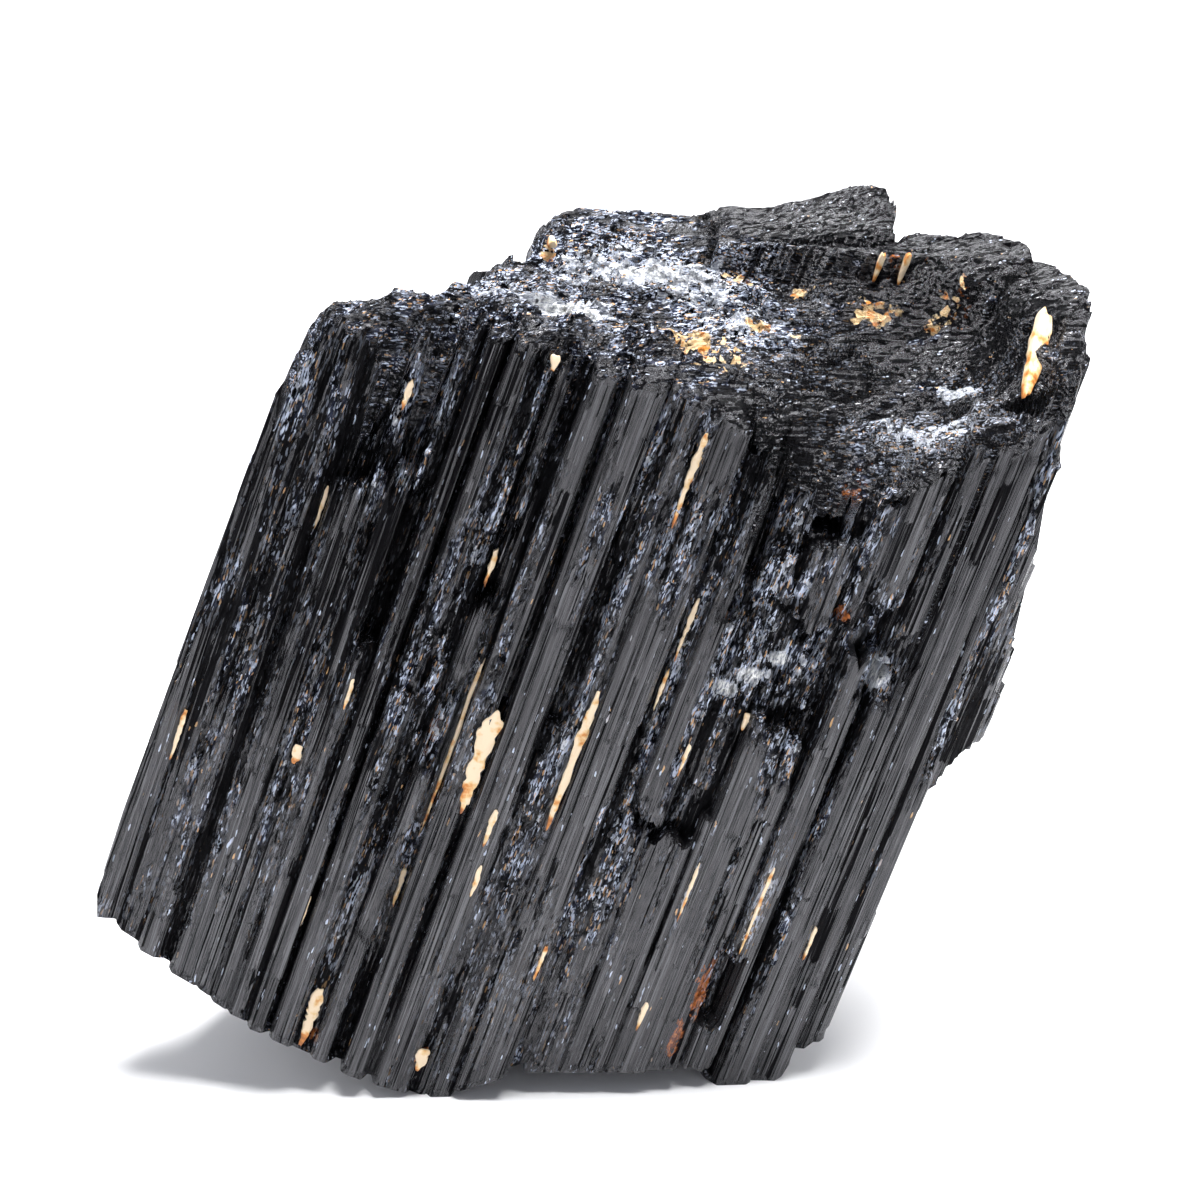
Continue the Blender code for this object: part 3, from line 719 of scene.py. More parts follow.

# %% [markdown]
# ## Where the side is rough, and where shade is painted
# On the real block the grooves and some bands are granular, and the deepest gaps lie in black shade,
# which the material paints by taking the mirror away. Both are read off the surface itself: how far a
# point lies inside the outline, and inside its neighbours.

# %% Rough places and painted shade
def roughness(s, h, a, front, recess):
    """How rough the side is: the front's table of bands, random streaks, and whatever lies recessed."""
    streaks = ramp(noise(s / 1.7, h / 16.0, 41) + 0.5 * noise(s / 0.6, h / 7.0, 42), 0.25, 0.75)
    grooves = ramp(recess, 0.42, 0.8) * (0.5 + 0.7 * noise(s / 1.1, h / 9.0, 44))
    rough = np.maximum(np.maximum(front * bands(a, h, ROUGH_BANDS), 0.7 * streaks), grooves)
    rough = rough * (0.6 + 0.4 * ramp(h, 8.0, 28.0))
    return np.clip(rough + 0.3 * noise(s / 0.5, h / 2.5, 43) * (rough > 0.02), 0.0, 1.0)


def recess_shade(s, h, a, front, t):
    """Painted shade: how far each point lies inside the grid columns beside it, and in the front's listed
    dark hollows.
    """
    around = t.copy()
    for shift in range(1, GAP_REACH + 1):
        around[:, shift:] = np.maximum(around[:, shift:], t[:, :-shift])
        around[:, :-shift] = np.maximum(around[:, :-shift], t[:, shift:])
    painted_shade = ramp(around - t, 0.3, 0.85) * ramp(noise(s / 1.6, h / 14.0, 45) + 0.3, -0.3, 0.25)
    return np.maximum(painted_shade, front * spots(a, h, FRONT_SHADE_SPOTS))


halfway = roughness(np.array([FRONT_SEAM]), np.array([30.0]), seam[:, 0], 1.0, 0.5)
print("roughness in a groove halfway up the front seam:", halfway.round(2))

# %% [markdown]
# ## The surface of one sector
# The side comes first, then the top runs in from its rim and the base from its foot. Six fields go
# with the points, for the material: rough, the painted shade of gaps and slits, top, dust, cream and
# rust.

# %% Side of a sector
def side_rows(s):
    """Points and fields of the side for grid columns at arc lengths s, from the foot to the rim."""
    point, normal = along_outline(s)
    start = point - LOOK_IN * normal
    looks = (start, normal)
    spans = [through(corners, *looks) for corners, _, _ in columns]
    rim_t = rim_distance(looks, spans)
    rim_h = broken_top(*points_out(looks, rim_t))[0]
    foot_h = base_height(*points_out(looks, np.full(s.shape, LOOK_IN - 0.8)))
    v = np.linspace(0.0, 1.0, SIDE_ROWS)[:, None]
    h = foot_h + (rim_h - foot_h) * v
    uneven = 0.9 * noise(s / 1.1, s * 0, 46) + 0.5 * noise(s / 0.4, s * 0, 47)
    level = h + uneven * ramp(rim_h - h, 2.0, 6.0) * ramp(h - foot_h, 2.0, 6.0)
    t = side_distance(looks, spans, h, level)
    t[-1] = rim_t

    a = np.broadcast_to(point[:, 0], h.shape)
    front = ((point[:, 1] < -11.5) & (point[:, 0] > -28.0)) * 1.0
    rough = roughness(s, h, a, front, LOOK_IN - t)
    fade = ramp(v, 0.0, 0.01) * ramp(1 - v, 0.0, 0.01)
    t = t + side_relief(s + 0 * h, a, h, rough) * fade
    # painted shade: deep narrow gaps between the columns are made black by taking the mirror away
    painted_shade = recess_shade(s, h, a, front, t)
    rough = rough * (1 - 0.85 * painted_shade)
    # painted shade: the upper left of the front gets extra black slits, which make it darker
    upper_left = front * ramp(-a, 6.0, 15.0) * ramp(h, 16.0, 32.0)
    side = start[None] + t[..., None] * normal[None]
    return {
        "a": side[..., 0],
        "b": side[..., 1],
        "h": h,
        "rough": rough,
        "painted_shade": np.maximum(painted_shade, 0.6 * upper_left),
        "dust": np.maximum(0.55 * rough, front * spots(a, h, FRONT_DUST)),
        "rust": front * spots(a, h, FRONT_RUST),
    }


# %% Top and base of a sector
def top_rows(edge_a, edge_b):
    """Points and fields of the broken top, from the rim in to the line down the middle."""
    inwards = (np.linspace(0.0, 1.0, TOP_ROWS + 1)[1:-1] ** 1.15)[:, None]
    a = edge_a + (POLE[0] - edge_a) * inwards
    b = edge_b + (POLE[1] - edge_b) * inwards
    h, smooth, crevice_shade = broken_top(a, b)
    dust = spots(a, b, TOP_DUST)
    patches = 0.35 * layered(a / 2.2, b / 2.2, 55) - 0.25 * ramp(a, 5.0, 9.0)
    # painted shade for the dark hollows of the top
    shade_spot = spots(a, b, TOP_SHADE_SPOTS)
    return {
        "a": a,
        "b": b,
        "h": h,
        "rough": np.clip(0.5 + 0.5 * dust + patches - 0.6 * smooth - 0.3 * shade_spot, 0.0, 1.0),
        # painted shade: black slits over a share of the whole top, and more in its crevices and dark
        # hollows
        "painted_shade": 0.35 + 0.55 * np.maximum(crevice_shade, shade_spot),
        "top": 1.0,
        "dust": dust,
        "cream": spots(a, b, TOP_CREAM),
        "rust": spots(a, b, TOP_RUST),
    }


def base_rows(foot_a, foot_b, foot_h):
    """Points and fields of the broken base, from the line down the middle out to the foot."""
    outwards = np.linspace(0.0, 1.0, BASE_ROWS + 1)[1:-1][:, None]
    a = POLE[0] + (foot_a - POLE[0]) * outwards
    b = POLE[1] + (foot_b - POLE[1]) * outwards
    rise = 0.5 * (1 + layered(a / 3.0, b / 3.0, 61)) * (1 - outwards**8)
    h = base_height(a, b) + 0.5 * rise
    h = h * (1 - outwards**12) + (foot_h * outwards**12)
    return {"a": a, "b": b, "h": h, "rough": 0.6, "dust": 0.1}


def sector_surface(s):
    """Rows of positions and fields for grid columns at arc lengths s, from the base's middle up."""
    side = side_rows(s)
    base = base_rows(*(side[name][0] for name in ("a", "b", "h")))
    top = top_rows(*(side[name][-1] for name in ("a", "b")))

    def stacked(name):
        """One value over base, side and top; it is 0 on a part that doesn't give it."""
        return np.vstack([part.get(name, 0.0) + 0 * part["h"] for part in (base, side, top)])

    fields = {name: stacked(name) for name in ("rough", "painted_shade", "top", "dust", "cream", "rust")}
    return stacked("a"), stacked("b"), stacked("h"), fields


print("rows of base, side and top:", BASE_ROWS - 1, SIDE_ROWS, TOP_ROWS - 1)

# %% [markdown]
# ## From grids to closed meshes
# Four sectors keep each mesh at a size that is easy to handle. Each is closed by a wall of points down
# the middle of the block, so that it is a solid piece with no open edge.

# %% Meshes
def grid_faces(index):
    """Two triangles for each cell of a grid that closes up sideways, without those that have no area."""
    here, above = index[:-1], index[1:]
    right, above_right = np.roll(here, -1, axis=1), np.roll(above, -1, axis=1)
    halves = [(here, right, above_right), (here, above_right, above)]
    faces = np.concatenate([np.stack(half, -1).reshape(-1, 3) for half in halves])
    different = (faces[:, 0] != faces[:, 1]) & (faces[:, 1] != faces[:, 2]) & (faces[:, 2] != faces[:, 0])
    return faces[different]


def new_piece(name, points, faces, fields):
    """An object of triangles, kept inside the solid's box, with one number per point for each field."""
    points = np.clip(points, CAD_LOW, CAD_HIGH)
    mesh = bpy.data.meshes.new(name)
    mesh.vertices.add(len(points))
    mesh.vertices.foreach_set("co", points.astype(np.float32).ravel())
    mesh.loops.add(faces.size)
    mesh.loops.foreach_set("vertex_index", faces.astype(np.int32).ravel())
    mesh.polygons.add(len(faces))
    mesh.polygons.foreach_set("loop_start", np.arange(0, faces.size, 3, dtype=np.int32))
    mesh.update(calc_edges=True)
    for field, values in fields.items():
        layer = mesh.attributes.new(field, "FLOAT", "POINT")
        layer.data.foreach_set("value", values.astype(np.float32))
    mesh.shade_smooth()
    mesh.set_sharp_from_angle(angle=SHARP_ANGLE)
    obj = bpy.data.objects.new(name, mesh)
    bpy.context.scene.collection.objects.link(obj)
    print(name, len(points), "points", len(faces), "triangles")
    return obj


def closed_sector(name, first, last):
    """One sector as a closed mesh: its grid, the middle points of base and top, and a seam between."""
    s = np.linspace(first, last, COLUMNS_EACH)
    s[-1] = s[-1] % PERIMETER
    a, b, h, fields = sector_surface(s)
    surfaces.append((a, b, h))
    rows, wide = a.shape
    pole_low = base_height(POLE[:1], POLE[1:])[0] + 0.3
    pole_high = top_height(POLE[:1], POLE[1:])[0] - 0.2
    seam = pole_low + (pole_high - pole_low) * np.linspace(0.02, 0.98, rows)
    middle_h = np.append(seam, [pole_low, pole_high])
    middle_a, middle_b = POLE[:, None] + 0 * middle_h
    middle_points = to_room(middle_a, middle_b, middle_h)
    points = np.concatenate([to_room(a.ravel(), b.ravel(), h.ravel()), middle_points])
    index = np.empty((rows + 2, wide + 1), np.int64)
    index[1:-1, :-1] = np.arange(rows * wide).reshape(rows, wide)
    index[1:-1, -1] = rows * wide + np.arange(rows)
    index[0], index[-1] = rows * wide + rows, rows * wide + rows + 1
    fields = {field: np.append(values, np.zeros(rows + 2)) for field, values in fields.items()}
    obj = new_piece(name, points, grid_faces(index), fields)
    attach(obj, "root")
    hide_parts("tourmaline_crystal")
    return obj


SHARP_ANGLE = math.radians(38)
surfaces = []
names = ["front_left_columns", "front_right_columns", "right_and_back_columns", "left_and_back_columns"]
sectors = [closed_sector(name, SEAMS[k], SEAMS[k + 1]) for k, name in enumerate(names)]

# %% [markdown]
# ## Slivers of feldspar
# Pale slivers fill some of the grooves. Each is a thin closed lath with a ragged outline. Those of the
# front follow a line fitted to the rock behind them, and those of the top run between two given ends.

# %% Feldspar slivers
LATH_RINGS, LATH_AROUND = 13, 64
# On the front: a, h, half width, half length.
FRONT_SLIVERS = [
    (-4.75, 28.2, 0.62, 4.2), (1.6, 30.4, 0.33, 5.6), (2.3, 54, 0.22, 3.6), (6.1, 42.5, 0.16, 2.6),
    (5.9, 37.5, 0.12, 1.6), (-6.8, 28, 0.13, 7.5), (-6.9, 15.5, 0.16, 1.6), (-21.2, 42.5, 0.14, 1.7),
    (-18.1, 53, 0.22, 1.1), (-25.8, 22, 0.15, 2.1), (-10, 3.4, 0.4, 2.5), (-17.3, 23.8, 0.35, 0.8),
    (-1.2, 3, 0.4, 1), (13.1, 22.8, 0.1, 2.4), (12.6, 36.8, 0.25, 0.7), (13.3, 11.7, 0.18, 1.2),
    (23.5, 20.5, 0.14, 1.5), (18.6, 22.4, 0.11, 4), (-2.4, 23.5, 0.2, 1.6), (-2, 19, 0.16, 1.3),
    (-8.6, 42.5, 0.2, 1.5), (-9.3, 59, 0.3, 0.6), (-13, 12, 0.1, 1.5), (4.6, 14, 0.12, 1.6),
    (9.2, 33, 0.12, 1.4), (-15.2, 30, 0.12, 1.2),
]
# On the ledges of the top: lower end a, b, h, upper end a, b, h, half width.
LEDGE_SLIVERS = [
    (23.4, -11.1, 65.8, 24, -4.6, 70.2, 0.6), (13.3, 5.6, 64.9, 13.3, 5.5, 67.2, 0.2),
    (15.1, 5.5, 65.3, 15.1, 5.4, 67.8, 0.2), (-10.5, 3.9, 60.4, -10, 3.9, 60.9, 0.28),
]
print(len(FRONT_SLIVERS), "laths on the front and", len(LEDGE_SLIVERS), "on the top")

# %% [markdown]
# ## Shape of a lath
# A lath could be a flat plane, but then it would have no thickness at its edge. Closed rings of
# points are as easy to work out, and give it two faces and a rim.

# %% Shape of a lath
def side_grid(sector):
    """The rows of a sector that lie on its side, as arrays a, b, h."""
    first, last = BASE_ROWS - 1, BASE_ROWS - 1 + SIDE_ROWS
    return [values[first:last] for values in surfaces[sector][:3]]


def rock_behind(a, h):
    """Depth b of the front face at (a, h), read off the nearest points of the two front sectors."""
    depth = np.zeros(a.shape)
    seam_a = side_grid(0)[0][:, -1].mean()
    for sector in (0, 1):
        grid_a, grid_b, grid_h = side_grid(sector)
        columns_a = grid_a.mean(axis=0)
        j = np.round(np.interp(a, columns_a, np.arange(len(columns_a))))
        j = np.clip(j, 2, len(columns_a) - 3).astype(int)
        share = (h - grid_h[0, j]) / (grid_h[-1, j] - grid_h[0, j])
        i = np.clip(np.round(share * (SIDE_ROWS - 1)), 1, SIDE_ROWS - 2).astype(int)
        steps = [(di, dj) for di in (-1, 0, 1) for dj in (-2, -1, 0, 1, 2)]
        near = np.mean([grid_b[i + di, j + dj] for di, dj in steps], axis=0)
        depth = np.where((a < seam_a) == (sector == 0), near, depth)
    return depth


def ragged_lath(half_width, half_length, salt, ragged=1.0):
    """Points of a closed thin lath: rings that widen from its front pole to a ragged rim and narrow to
    its back pole, with the two poles last.

    The rim is an oval with squarer ends, |cos|^0.7 across and |sin|^0.9 along, wider at the top than
    at the bottom. Noise along each long edge makes it ragged. The two faces are nearly flat: the
    thickness is |cos|^0.45 of the ring's angle."""
    angle = np.linspace(0.0, 2 * math.pi, LATH_AROUND, endpoint=False)
    ring_angle = np.linspace(0.0, math.pi, LATH_RINGS + 2)[1:-1, None]
    swell, side = np.sin(ring_angle), np.cos(ring_angle)
    right, up = np.cos(angle), np.sin(angle)
    rim_across = np.sign(right) * np.abs(right) ** 0.7
    rim_along = half_length * np.sign(up) * np.abs(up) ** 0.9
    edge_of = 5.0 * np.sign(right)
    edge = 0.25 * noise(rim_along / 1.3, edge_of, salt) + 0.35 * noise(rim_along / 0.3, edge_of, salt + 1)
    rim_across = half_width * rim_across * (1 + ragged * edge) * (1 + 0.4 * up)
    rim_along = rim_along * (1 + 0.1 * noise(right * 3.0, up * 0.0, salt + 2))
    across, along = swell * rim_across, swell * rim_along
    plate = np.sign(side) * np.abs(side) ** 0.45
    thick = plate * (1 + 0.3 * noise(across / 0.3, along / 0.6, salt + 3))
    return np.append(across, [0, 0]), np.append(along, [0, 0]), np.append(thick, [1, -1])


# %% [markdown]
# ## Placing the laths
# Each lath has to touch the rock all along, or it would float. The rock's depth is read off the
# surface made above, and the lath's back is sunk into it.

# %% Laths
def front_lath(a0, h0, half_width, half_length, salt):
    """A lath of the front, on a polynomial fitted to the most protruding rock behind it."""
    across, along, thick = ragged_lath(half_width, half_length, salt)
    a, h = a0 + across, h0 + along
    stations = h0 + half_length * np.linspace(-1, 1, 25)
    places = [a0 + half_width * share + 0 * stations for share in (-0.8, -0.3, 0.3, 0.8)]
    behind = np.min([rock_behind(place, stations) for place in places], axis=0)
    line = np.polynomial.Polynomial.fit(stations, behind, 3 if half_length > 1.5 else 1)
    b = line(h) - 0.1 - np.where(thick > 0, min(0.15, 0.7 * half_width), 0.45) * thick
    return to_room(a, b, h), ramp((h0 - h) / half_length, 0.2, 1.0)


def ledge_lath(low, high, half_width, salt):
    """A lath of the top between two ends: its back lies deep in the rock, its face a little out of it."""
    low, high = np.array(low), np.array(high)
    half_length = 0.5 * np.linalg.norm(high - low)
    upward = (high - low) / (2 * half_length)
    across_way = np.cross(upward, [0.0, 1.0, 0.4])
    across_way /= np.linalg.norm(across_way)
    out_way = np.cross(across_way, upward)
    across, along, thick = ragged_lath(half_width, half_length, salt, ragged=0.25)
    out = np.where(thick > 0, 0.9, 0.16) * thick
    offset = np.outer(across, across_way) + np.outer(along, upward) + np.outer(out, out_way)
    stain = 0.45 if half_width < 0.25 else 0.25
    return to_room(*(0.5 * (low + high) + offset).T), ramp(-along / half_length, 0.2, 1.0) + stain


def feldspar():
    """All the laths as one piece, with the field lower_end that stains their lower ends."""
    laths = [front_lath(*row, 200 + 7 * k) for k, row in enumerate(FRONT_SLIVERS)]
    laths += [ledge_lath(row[:3], row[3:6], row[6], 500 + 7 * k) for k, row in enumerate(LEDGE_SLIVERS)]
    last = LATH_RINGS * LATH_AROUND
    rings = np.arange(last).reshape(LATH_RINGS, LATH_AROUND)
    poles = np.full((1, LATH_AROUND), last)
    faces = grid_faces(np.vstack([poles, rings, poles + 1]))
    points, lower_end = (np.concatenate(parts) for parts in zip(*laths))
    faces = np.concatenate([faces + k * (last + 2) for k in range(len(laths))])
    obj = new_piece("feldspar_slivers", points, faces, {"lower_end": lower_end})
    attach(obj, "root")
    return obj


slivers = feldspar()

# %% [markdown]
# ## Helpers for node materials
# A material is a tree of nodes. These helpers add a node and link it in one line, so that the recipes
# below read like formulas.

# %% Node helpers
class NodeKit:
    """The few kinds of node that the materials need. Each method adds one to the tree and gives its
    output; a value may be a number, a colour or another node's output."""

    def __init__(self, tree):
        self.tree = tree
        self.place = self.add("TexCoord").outputs["Object"]

    def feed(self, node, inputs):
        """Give each named input of a node its value."""
        for name, value in inputs.items():
            socket = node.inputs[name]
            if isinstance(value, (int, float)):
                socket.default_value = value
            elif isinstance(value, tuple):
                socket.default_value = (*value, 1.0)[: len(socket.default_value)]
            else:
                self.tree.links.new(value, socket)

    def add(self, kind, inputs=None, **options):
        """A new node of this kind, with its options set and its inputs fed."""
        node = self.tree.nodes.new("ShaderNode" + kind)
        for name, option in options.items():
            setattr(node, name, option)
        self.feed(node, inputs or {})
        return node

    def math(self, kind, *values):
        """One sum on numbers."""
        return self.add("Math", dict(enumerate(values)), operation=kind).outputs[0]

    def product(self, first, second):
        """first * second"""
        return self.math("MULTIPLY", first, second)

    def plus(self, value, factor, addend):
        """value * factor + addend"""
        return self.math("MULTIPLY_ADD", value, factor, addend)

    def larger(self, first, second):
        """The larger of the two."""
        return self.math("MAXIMUM", first, second)

    def vector(self, kind, *values):
        """One sum on vectors."""
        return self.add("VectorMath", dict(enumerate(values)), operation=kind).outputs[0]

    def step(self, value, low, high):
        """0 below low, 1 above high, eased between."""
        inputs = {"Value": value, "From Min": low, "From Max": high}
        return self.add("MapRange", inputs, interpolation_type="SMOOTHSTEP").outputs["Result"]

    def mix(self, share, first, second, kind="RGBA"):
        """A blend of two colours or two vectors, by the share of the second."""
        node = self.add("Mix", {0: share}, data_type=kind)
        ends = [k for k, socket in enumerate(node.inputs) if socket.type == kind and socket.name in "AB"]
        values = ((value,) * 3 if isinstance(value, float) else value for value in (first, second))
        self.feed(node, dict(zip(ends, values)))
        return next(socket for socket in node.outputs if socket.type == kind)

    def field(self, name):
        """A number stored on the surface."""
        return self.add("Attribute", attribute_name=name).outputs["Fac"]

    def stretched(self, along):
        """The place with its third number, along the columns or leaves, scaled by this."""
        return self.vector("MULTIPLY", self.place, (1.0, 1.0, along))

    def grain(self, scale, detail, along=1.0, rough=0.6):
        """Smooth noise from 0 to 1."""
        inputs = {"Scale": scale, "Detail": detail, "Roughness": rough, "Vector": self.stretched(along)}
        return self.add("TexNoise", inputs).outputs["Fac"]

    def random_cells(self, scale, along):
        """Small cells, each with a random colour."""
        return self.add("TexVoronoi", {"Scale": scale, "Vector": self.stretched(along)}).outputs["Color"]

    def channel(self, colour, number=0):
        """The red, green or blue of a colour, for numbers 0, 1 and 2."""
        return self.add("SeparateColor", {0: colour}).outputs[number]

    def tones(self, value, stops):
        """A colour ramp over the value, from positions and colours in order."""
        node = self.add("ValToRGB", {"Fac": value})
        elements = node.color_ramp.elements
        elements[0].position, elements[1].position = stops[0][0], stops[-1][0]
        for position, _ in stops[1:-1]:
            elements.new(position)
        for element, (_, colour) in zip(elements, stops):
            element.color = (*colour, 1.0)
        return node.outputs["Color"]


def node_material(name):
    """A new node material, with a kit for its tree and its shader."""
    material = bpy.data.materials.new(name)
    material.use_nodes = True
    return material, NodeKit(material.node_tree), material.node_tree.nodes["Principled BSDF"]


# %% [markdown]
# ## Black tourmaline
# The mineral is nearly black and reflects more than glass, so what shows on its ribs is the mirrored
# floor. Its slits and hollows carry painted shade: there the mirror is taken away, so they show black.
# The granular bands carry a painted bluish sky reflection, and their bluish-white specks are partly pale
# grains and partly painted glints. The colours of the traces come from the fields stored on the surface,
# broken up by fine noise and small cells, so that each patch ends in grains and not in a soft edge.

# %% Material
def schorl_material():
    """Black tourmaline with painted shade in its slits, a painted bluish sky reflection on its granular
    bands, white specks that are partly painted glints, cream and rust.
    """
    material, kit, shader = node_material("black_tourmaline")
    plus, product, larger, step, mix = kit.plus, kit.product, kit.larger, kit.step, kit.mix
    grain, random_cells, channel, field = kit.grain, kit.random_cells, kit.channel, kit.field

    # The place, turned so that its third number runs along the columns, or on the top along the leaves.
    upright = kit.add("Mapping", {"Rotation": (0.0, -LEAN, 0.0), "Vector": kit.place}).outputs["Vector"]
    foliated = kit.add("CombineXYZ")
    for k, way in enumerate(((-0.6, 0.8, 0.0), (0.0, 0.0, 1.0), (0.8, 0.6, 0.0))):
        dot = kit.add("VectorMath", {0: upright, 1: way}, operation="DOT_PRODUCT")
        kit.feed(foliated, {k: dot.outputs["Value"]})
    kit.place = mix(field("top"), upright, foliated.outputs["Vector"], "VECTOR")

    rough, dust = field("rough"), field("dust")
    cloud = grain(700, 3, 0.35)
    fibre = grain(6500, 3, 0.33, 0.7)
    fleck = grain(2600, 4, 0.5, 0.75)
    thread = step(grain(8000, 3, 0.008, 0.7), 0.36, 0.62)
    vein = grain(1500, 4, 0.2)
    crumb_cells = random_cells(10000, 0.2)
    crumbs = channel(crumb_cells)
    chunks = channel(random_cells(2400, 0.6))
    flakes = channel(random_cells(1500, 0.7))

    granular = step(plus(kit.math("SUBTRACT", cloud, 0.5), 1.6, rough), 0.42, 0.72)
    # painted reflection: a bluish sky tint in the colour of the granular bands
    sky_reflection_tint = product(granular, step(plus(fibre, 0.5, vein), 0.68, 0.9))
    # pale grains and painted glints: bluish-white specks, some tan, on granular and dusty places and a
    # few elsewhere
    speck_and_glint_level = plus(dust, 0.25, plus(vein, 1.1, product(crumbs, 0.6)))
    specks_and_glints = product(step(speck_and_glint_level, 1.05, 1.15), larger(granular, dust))
    specks_and_glints = larger(specks_and_glints, product(step(crumbs, 0.97, 0.98), step(vein, 0.54, 0.6)))
    powder = step(plus(dust, 0.75, plus(fleck, 0.7, product(chunks, 0.3))), 0.98, 1.03)
    cream = step(plus(field("cream"), 0.8, plus(flakes, 0.45, product(fleck, 0.5))), 1.0, 1.04)
    rust = step(plus(field("rust"), 0.8, plus(chunks, 0.35, product(fleck, 0.6))), 0.95, 1.1)
    # painted shade: black slits where the mirror is taken away, most where the shade field stored on the
    # surface is high
    shade_slit_level = kit.math("SUBTRACT", 1.0, grain(3400, 2, 0.012))
    shade_slit = step(plus(field("painted_shade"), 0.22, shade_slit_level), 0.59, 0.63)

    colour = mix(thread, (0.001, 0.001, 0.0013), (0.005, 0.005, 0.006))
    colour = mix(sky_reflection_tint, colour, (0.03, 0.037, 0.066))
    colour = mix(rust, colour, mix(step(fibre, 0.4, 0.65), (0.09, 0.03, 0.014), (0.4, 0.12, 0.025)))
    tan = step(channel(crumb_cells, 1), 0.84, 0.86)
    colour = mix(specks_and_glints, colour, mix(tan, (0.56, 0.62, 0.76), (0.6, 0.36, 0.17)))
    white = mix(step(dust, 0.75, 1.05), (0.62, 0.64, 0.68), (0.9, 0.9, 0.88))
    colour = mix(powder, colour, mix(step(fibre, 0.35, 0.6), (0.2, 0.22, 0.27), white))
    colour = mix(cream, colour, mix(step(vein, 0.5, 0.62), (0.65, 0.48, 0.27), (0.55, 0.2, 0.04)))

    pale = larger(larger(powder, cream), specks_and_glints)
    duller = plus(pale, 0.45, product(granular, 0.02))
    duller = kit.math("ADD", duller, plus(thread, 0.1, 0.12))
    # painted shade: the mirror is dimmer between the threads, for the shade of the fine grooves
    mirror = mix(granular, plus(thread, 0.38, 0.46), 0.46)

    # Fine relief: lines along the threads, grains over them, and cells tilted at random where granular.
    lines = kit.add("Bump", {"Distance": 0.00006, "Strength": 0.8, "Height": thread})
    inputs = {"Distance": 0.00012, "Strength": product(granular, 0.8), "Height": fibre}
    grains = kit.add("Bump", {**inputs, "Normal": lines.outputs["Normal"]})
    tilt = kit.vector("SUBTRACT", random_cells(3000, 0.45), (0.5, 0.5, 0.5))
    tilt = kit.add("VectorMath", {0: tilt, "Scale": product(granular, 1.5)}, operation="SCALE").outputs[0]
    facing = kit.vector("ADD", grains.outputs["Normal"], tilt)
    shader_inputs = {
        "IOR": 1.64,
        "Base Color": colour,
        "Roughness": duller,
        "Specular IOR Level": mix(shade_slit, mirror, 0.04),
        "Specular Tint": (0.95, 0.945, 1.0),
        "Normal": kit.vector("NORMALIZE", facing),
    }
    kit.feed(shader, shader_inputs)
    return material


# %% [markdown]
# ## Cream feldspar
# The laths are cream, with iron stains that gather at their lower ends. One noise with the field
# lower_end added drives a ramp of four tones, which is simpler than a mix for each stain.

# %% Feldspar
def feldspar_material():
    """Cream feldspar that turns orange and brown in spots, most of all at the lower ends."""
    material, kit, shader = node_material("cream_feldspar")
    redder = kit.plus(kit.field("lower_end"), 0.18, kit.grain(900, 5, rough=0.5))
    cream, ochre = (0.78, 0.62, 0.43), (0.7, 0.47, 0.22)
    orange, brown = (0.6, 0.22, 0.04), (0.25, 0.08, 0.02)
    colour = kit.tones(redder, [(0.52, cream), (0.6, ochre), (0.67, orange), (0.76, brown)])
    kit.feed(shader, {"Base Color": colour, "Roughness": 0.5})
    return material


schorl = schorl_material()
for sector in sectors:
    sector.data.materials.append(schorl)
slivers.data.materials.append(feldspar_material())
print("materials:", [material.name for material in bpy.data.materials])

# %% [markdown]
# ## Floor and lights
# A pale floor, a bright room and a few large soft lights: the ribs of the front mirror the floor that
# lies before them, and a smaller light above brings out the relief of the broken top.

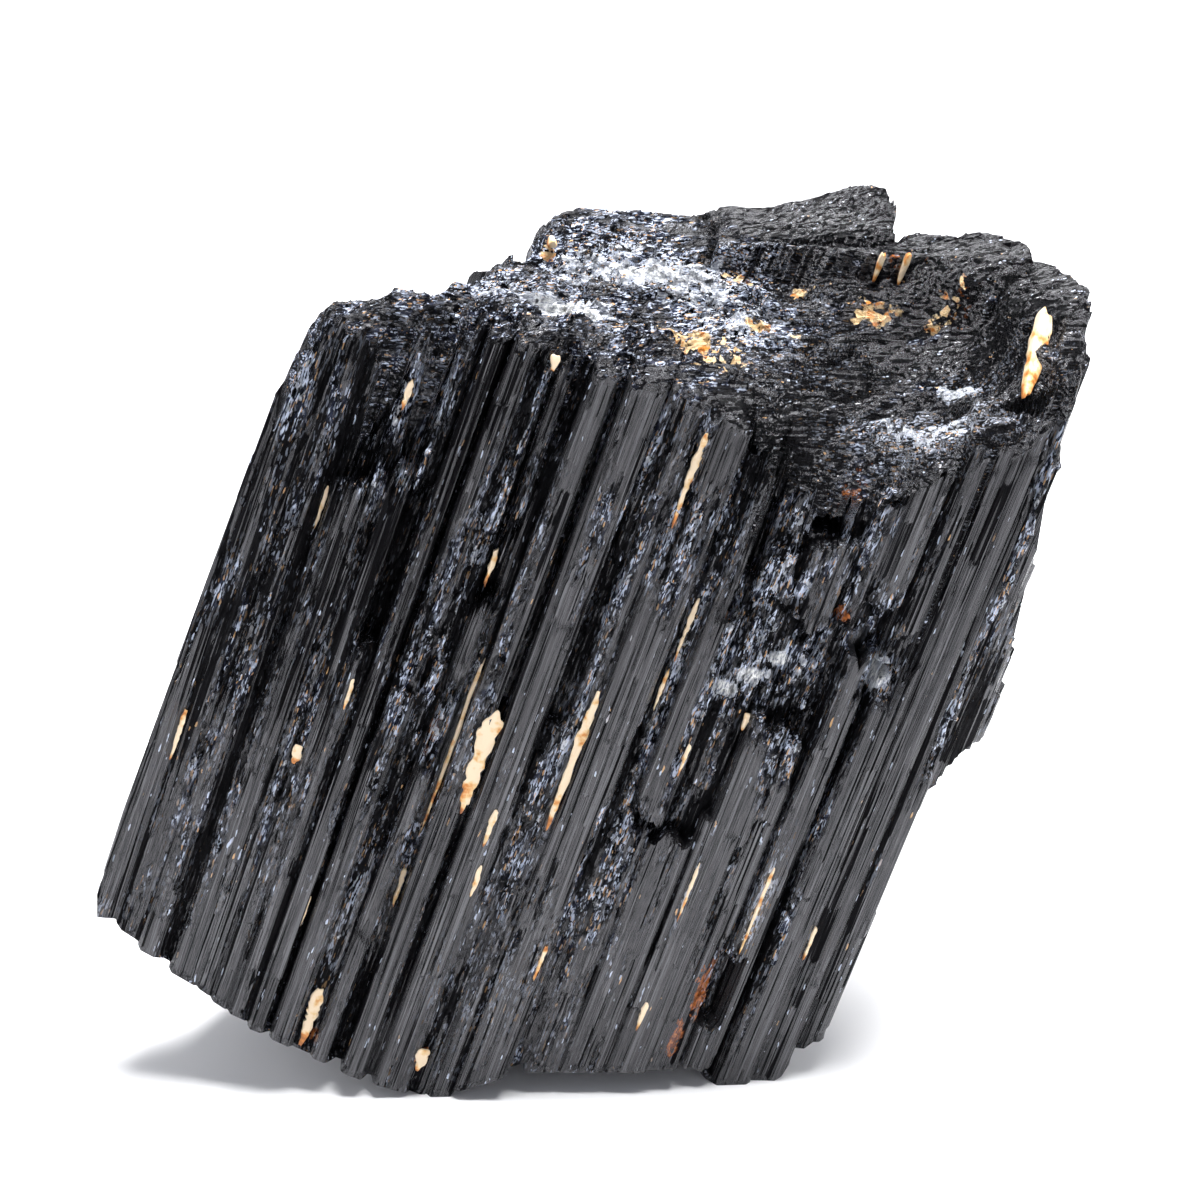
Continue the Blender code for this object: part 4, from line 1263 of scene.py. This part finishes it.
# %% Floor and lights
floor_mesh = bpy.data.meshes.new("floor")
floor_mesh.from_pydata([(-3, -3, 0), (3, -3, 0), (3, 3, 0), (-3, 3, 0)], [], [(0, 1, 2, 3)])
floor = bpy.data.objects.new("floor", floor_mesh)
pale, kit, shader = node_material("pale_floor")
kit.feed(shader, {"Base Color": (0.85, 0.85, 0.86), "Roughness": 0.9})
floor_mesh.materials.append(pale)
bpy.context.scene.collection.objects.link(floor)
floor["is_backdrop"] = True


def soft_light(name, place, aim, size, power, spread=180):
    """A rectangular light at a place, turned towards its aim; all in metres, watts and degrees."""
    light = bpy.data.lights.new(name, "AREA")
    light.shape = "RECTANGLE"
    light.size, light.size_y = size
    light.energy = power
    light.spread = math.radians(spread)
    obj = bpy.data.objects.new(name, light)
    obj.location = place
    away = np.array(place) - np.array(aim)
    flat = math.hypot(away[0], away[1])
    obj.rotation_euler = (math.atan2(flat, away[2]), 0.0, math.atan2(away[0], -away[1]))
    bpy.context.scene.collection.objects.link(obj)


soft_light("key", (0.08, 0.02, 0.5), (0.0, 0.04, 0.0), (0.26, 0.22), 2.1, spread=100)
soft_light("back_box", (0.1, 0.45, 0.3), (0.0, 0.0, 0.04), (0.4, 0.15), 0.8)
soft_light("left_box", (-0.4, 0.0, 0.3), (0.0, 0.0, 0.03), (0.1, 0.2), 0.5)
soft_light("right_box", (0.4, 0.1, 0.22), (0.04, 0.0, 0.0), (0.2, 0.2), 0.8)
bpy.context.scene.view_settings.view_transform = "Standard"
print("lights:", [light.name for light in bpy.data.lights])

# %% [markdown]
# ## The room and the camera
# The room is bright at the horizon and dim overhead, so that the floor looks white and the top keeps
# its contrast. The camera looks down by the photograph's angle, through a long lens from close by.

# %% Room and camera
world = bpy.data.worlds.new("bright_room")
world.use_nodes = True
kit = NodeKit(world.node_tree)
height = kit.add("SeparateXYZ", {0: kit.add("TexCoord").outputs["Generated"]}).outputs["Z"]
sky = kit.tones(height, [(0.0, (0.95, 0.95, 0.96)), (0.35, (0.3, 0.31, 0.34)), (1.0, (0.1, 0.105, 0.12))])
kit.feed(world.node_tree.nodes["Background"], {"Color": sky, "Strength": 1.5})
bpy.context.scene.world = world

CAMERA_HEIGHT_ANGLE = math.radians(25.0)
CAMERA_DISTANCE = 0.3
CAMERA_TARGET = np.array([0.00075, 0.0, 0.0339])
camera_data = bpy.data.cameras.new("camera")
camera_data.lens = 120.0
camera_data.sensor_width = 36.0
camera = bpy.data.objects.new("camera", camera_data)
forward = np.array([0.0, math.cos(CAMERA_HEIGHT_ANGLE), -math.sin(CAMERA_HEIGHT_ANGLE)])
camera.location = CAMERA_TARGET - CAMERA_DISTANCE * forward
camera.rotation_euler = (math.pi / 2 - CAMERA_HEIGHT_ANGLE, 0.0, 0.0)
bpy.context.scene.collection.objects.link(camera)
bpy.context.scene.camera = camera
print("camera at, m:", np.round(camera.location, 3))
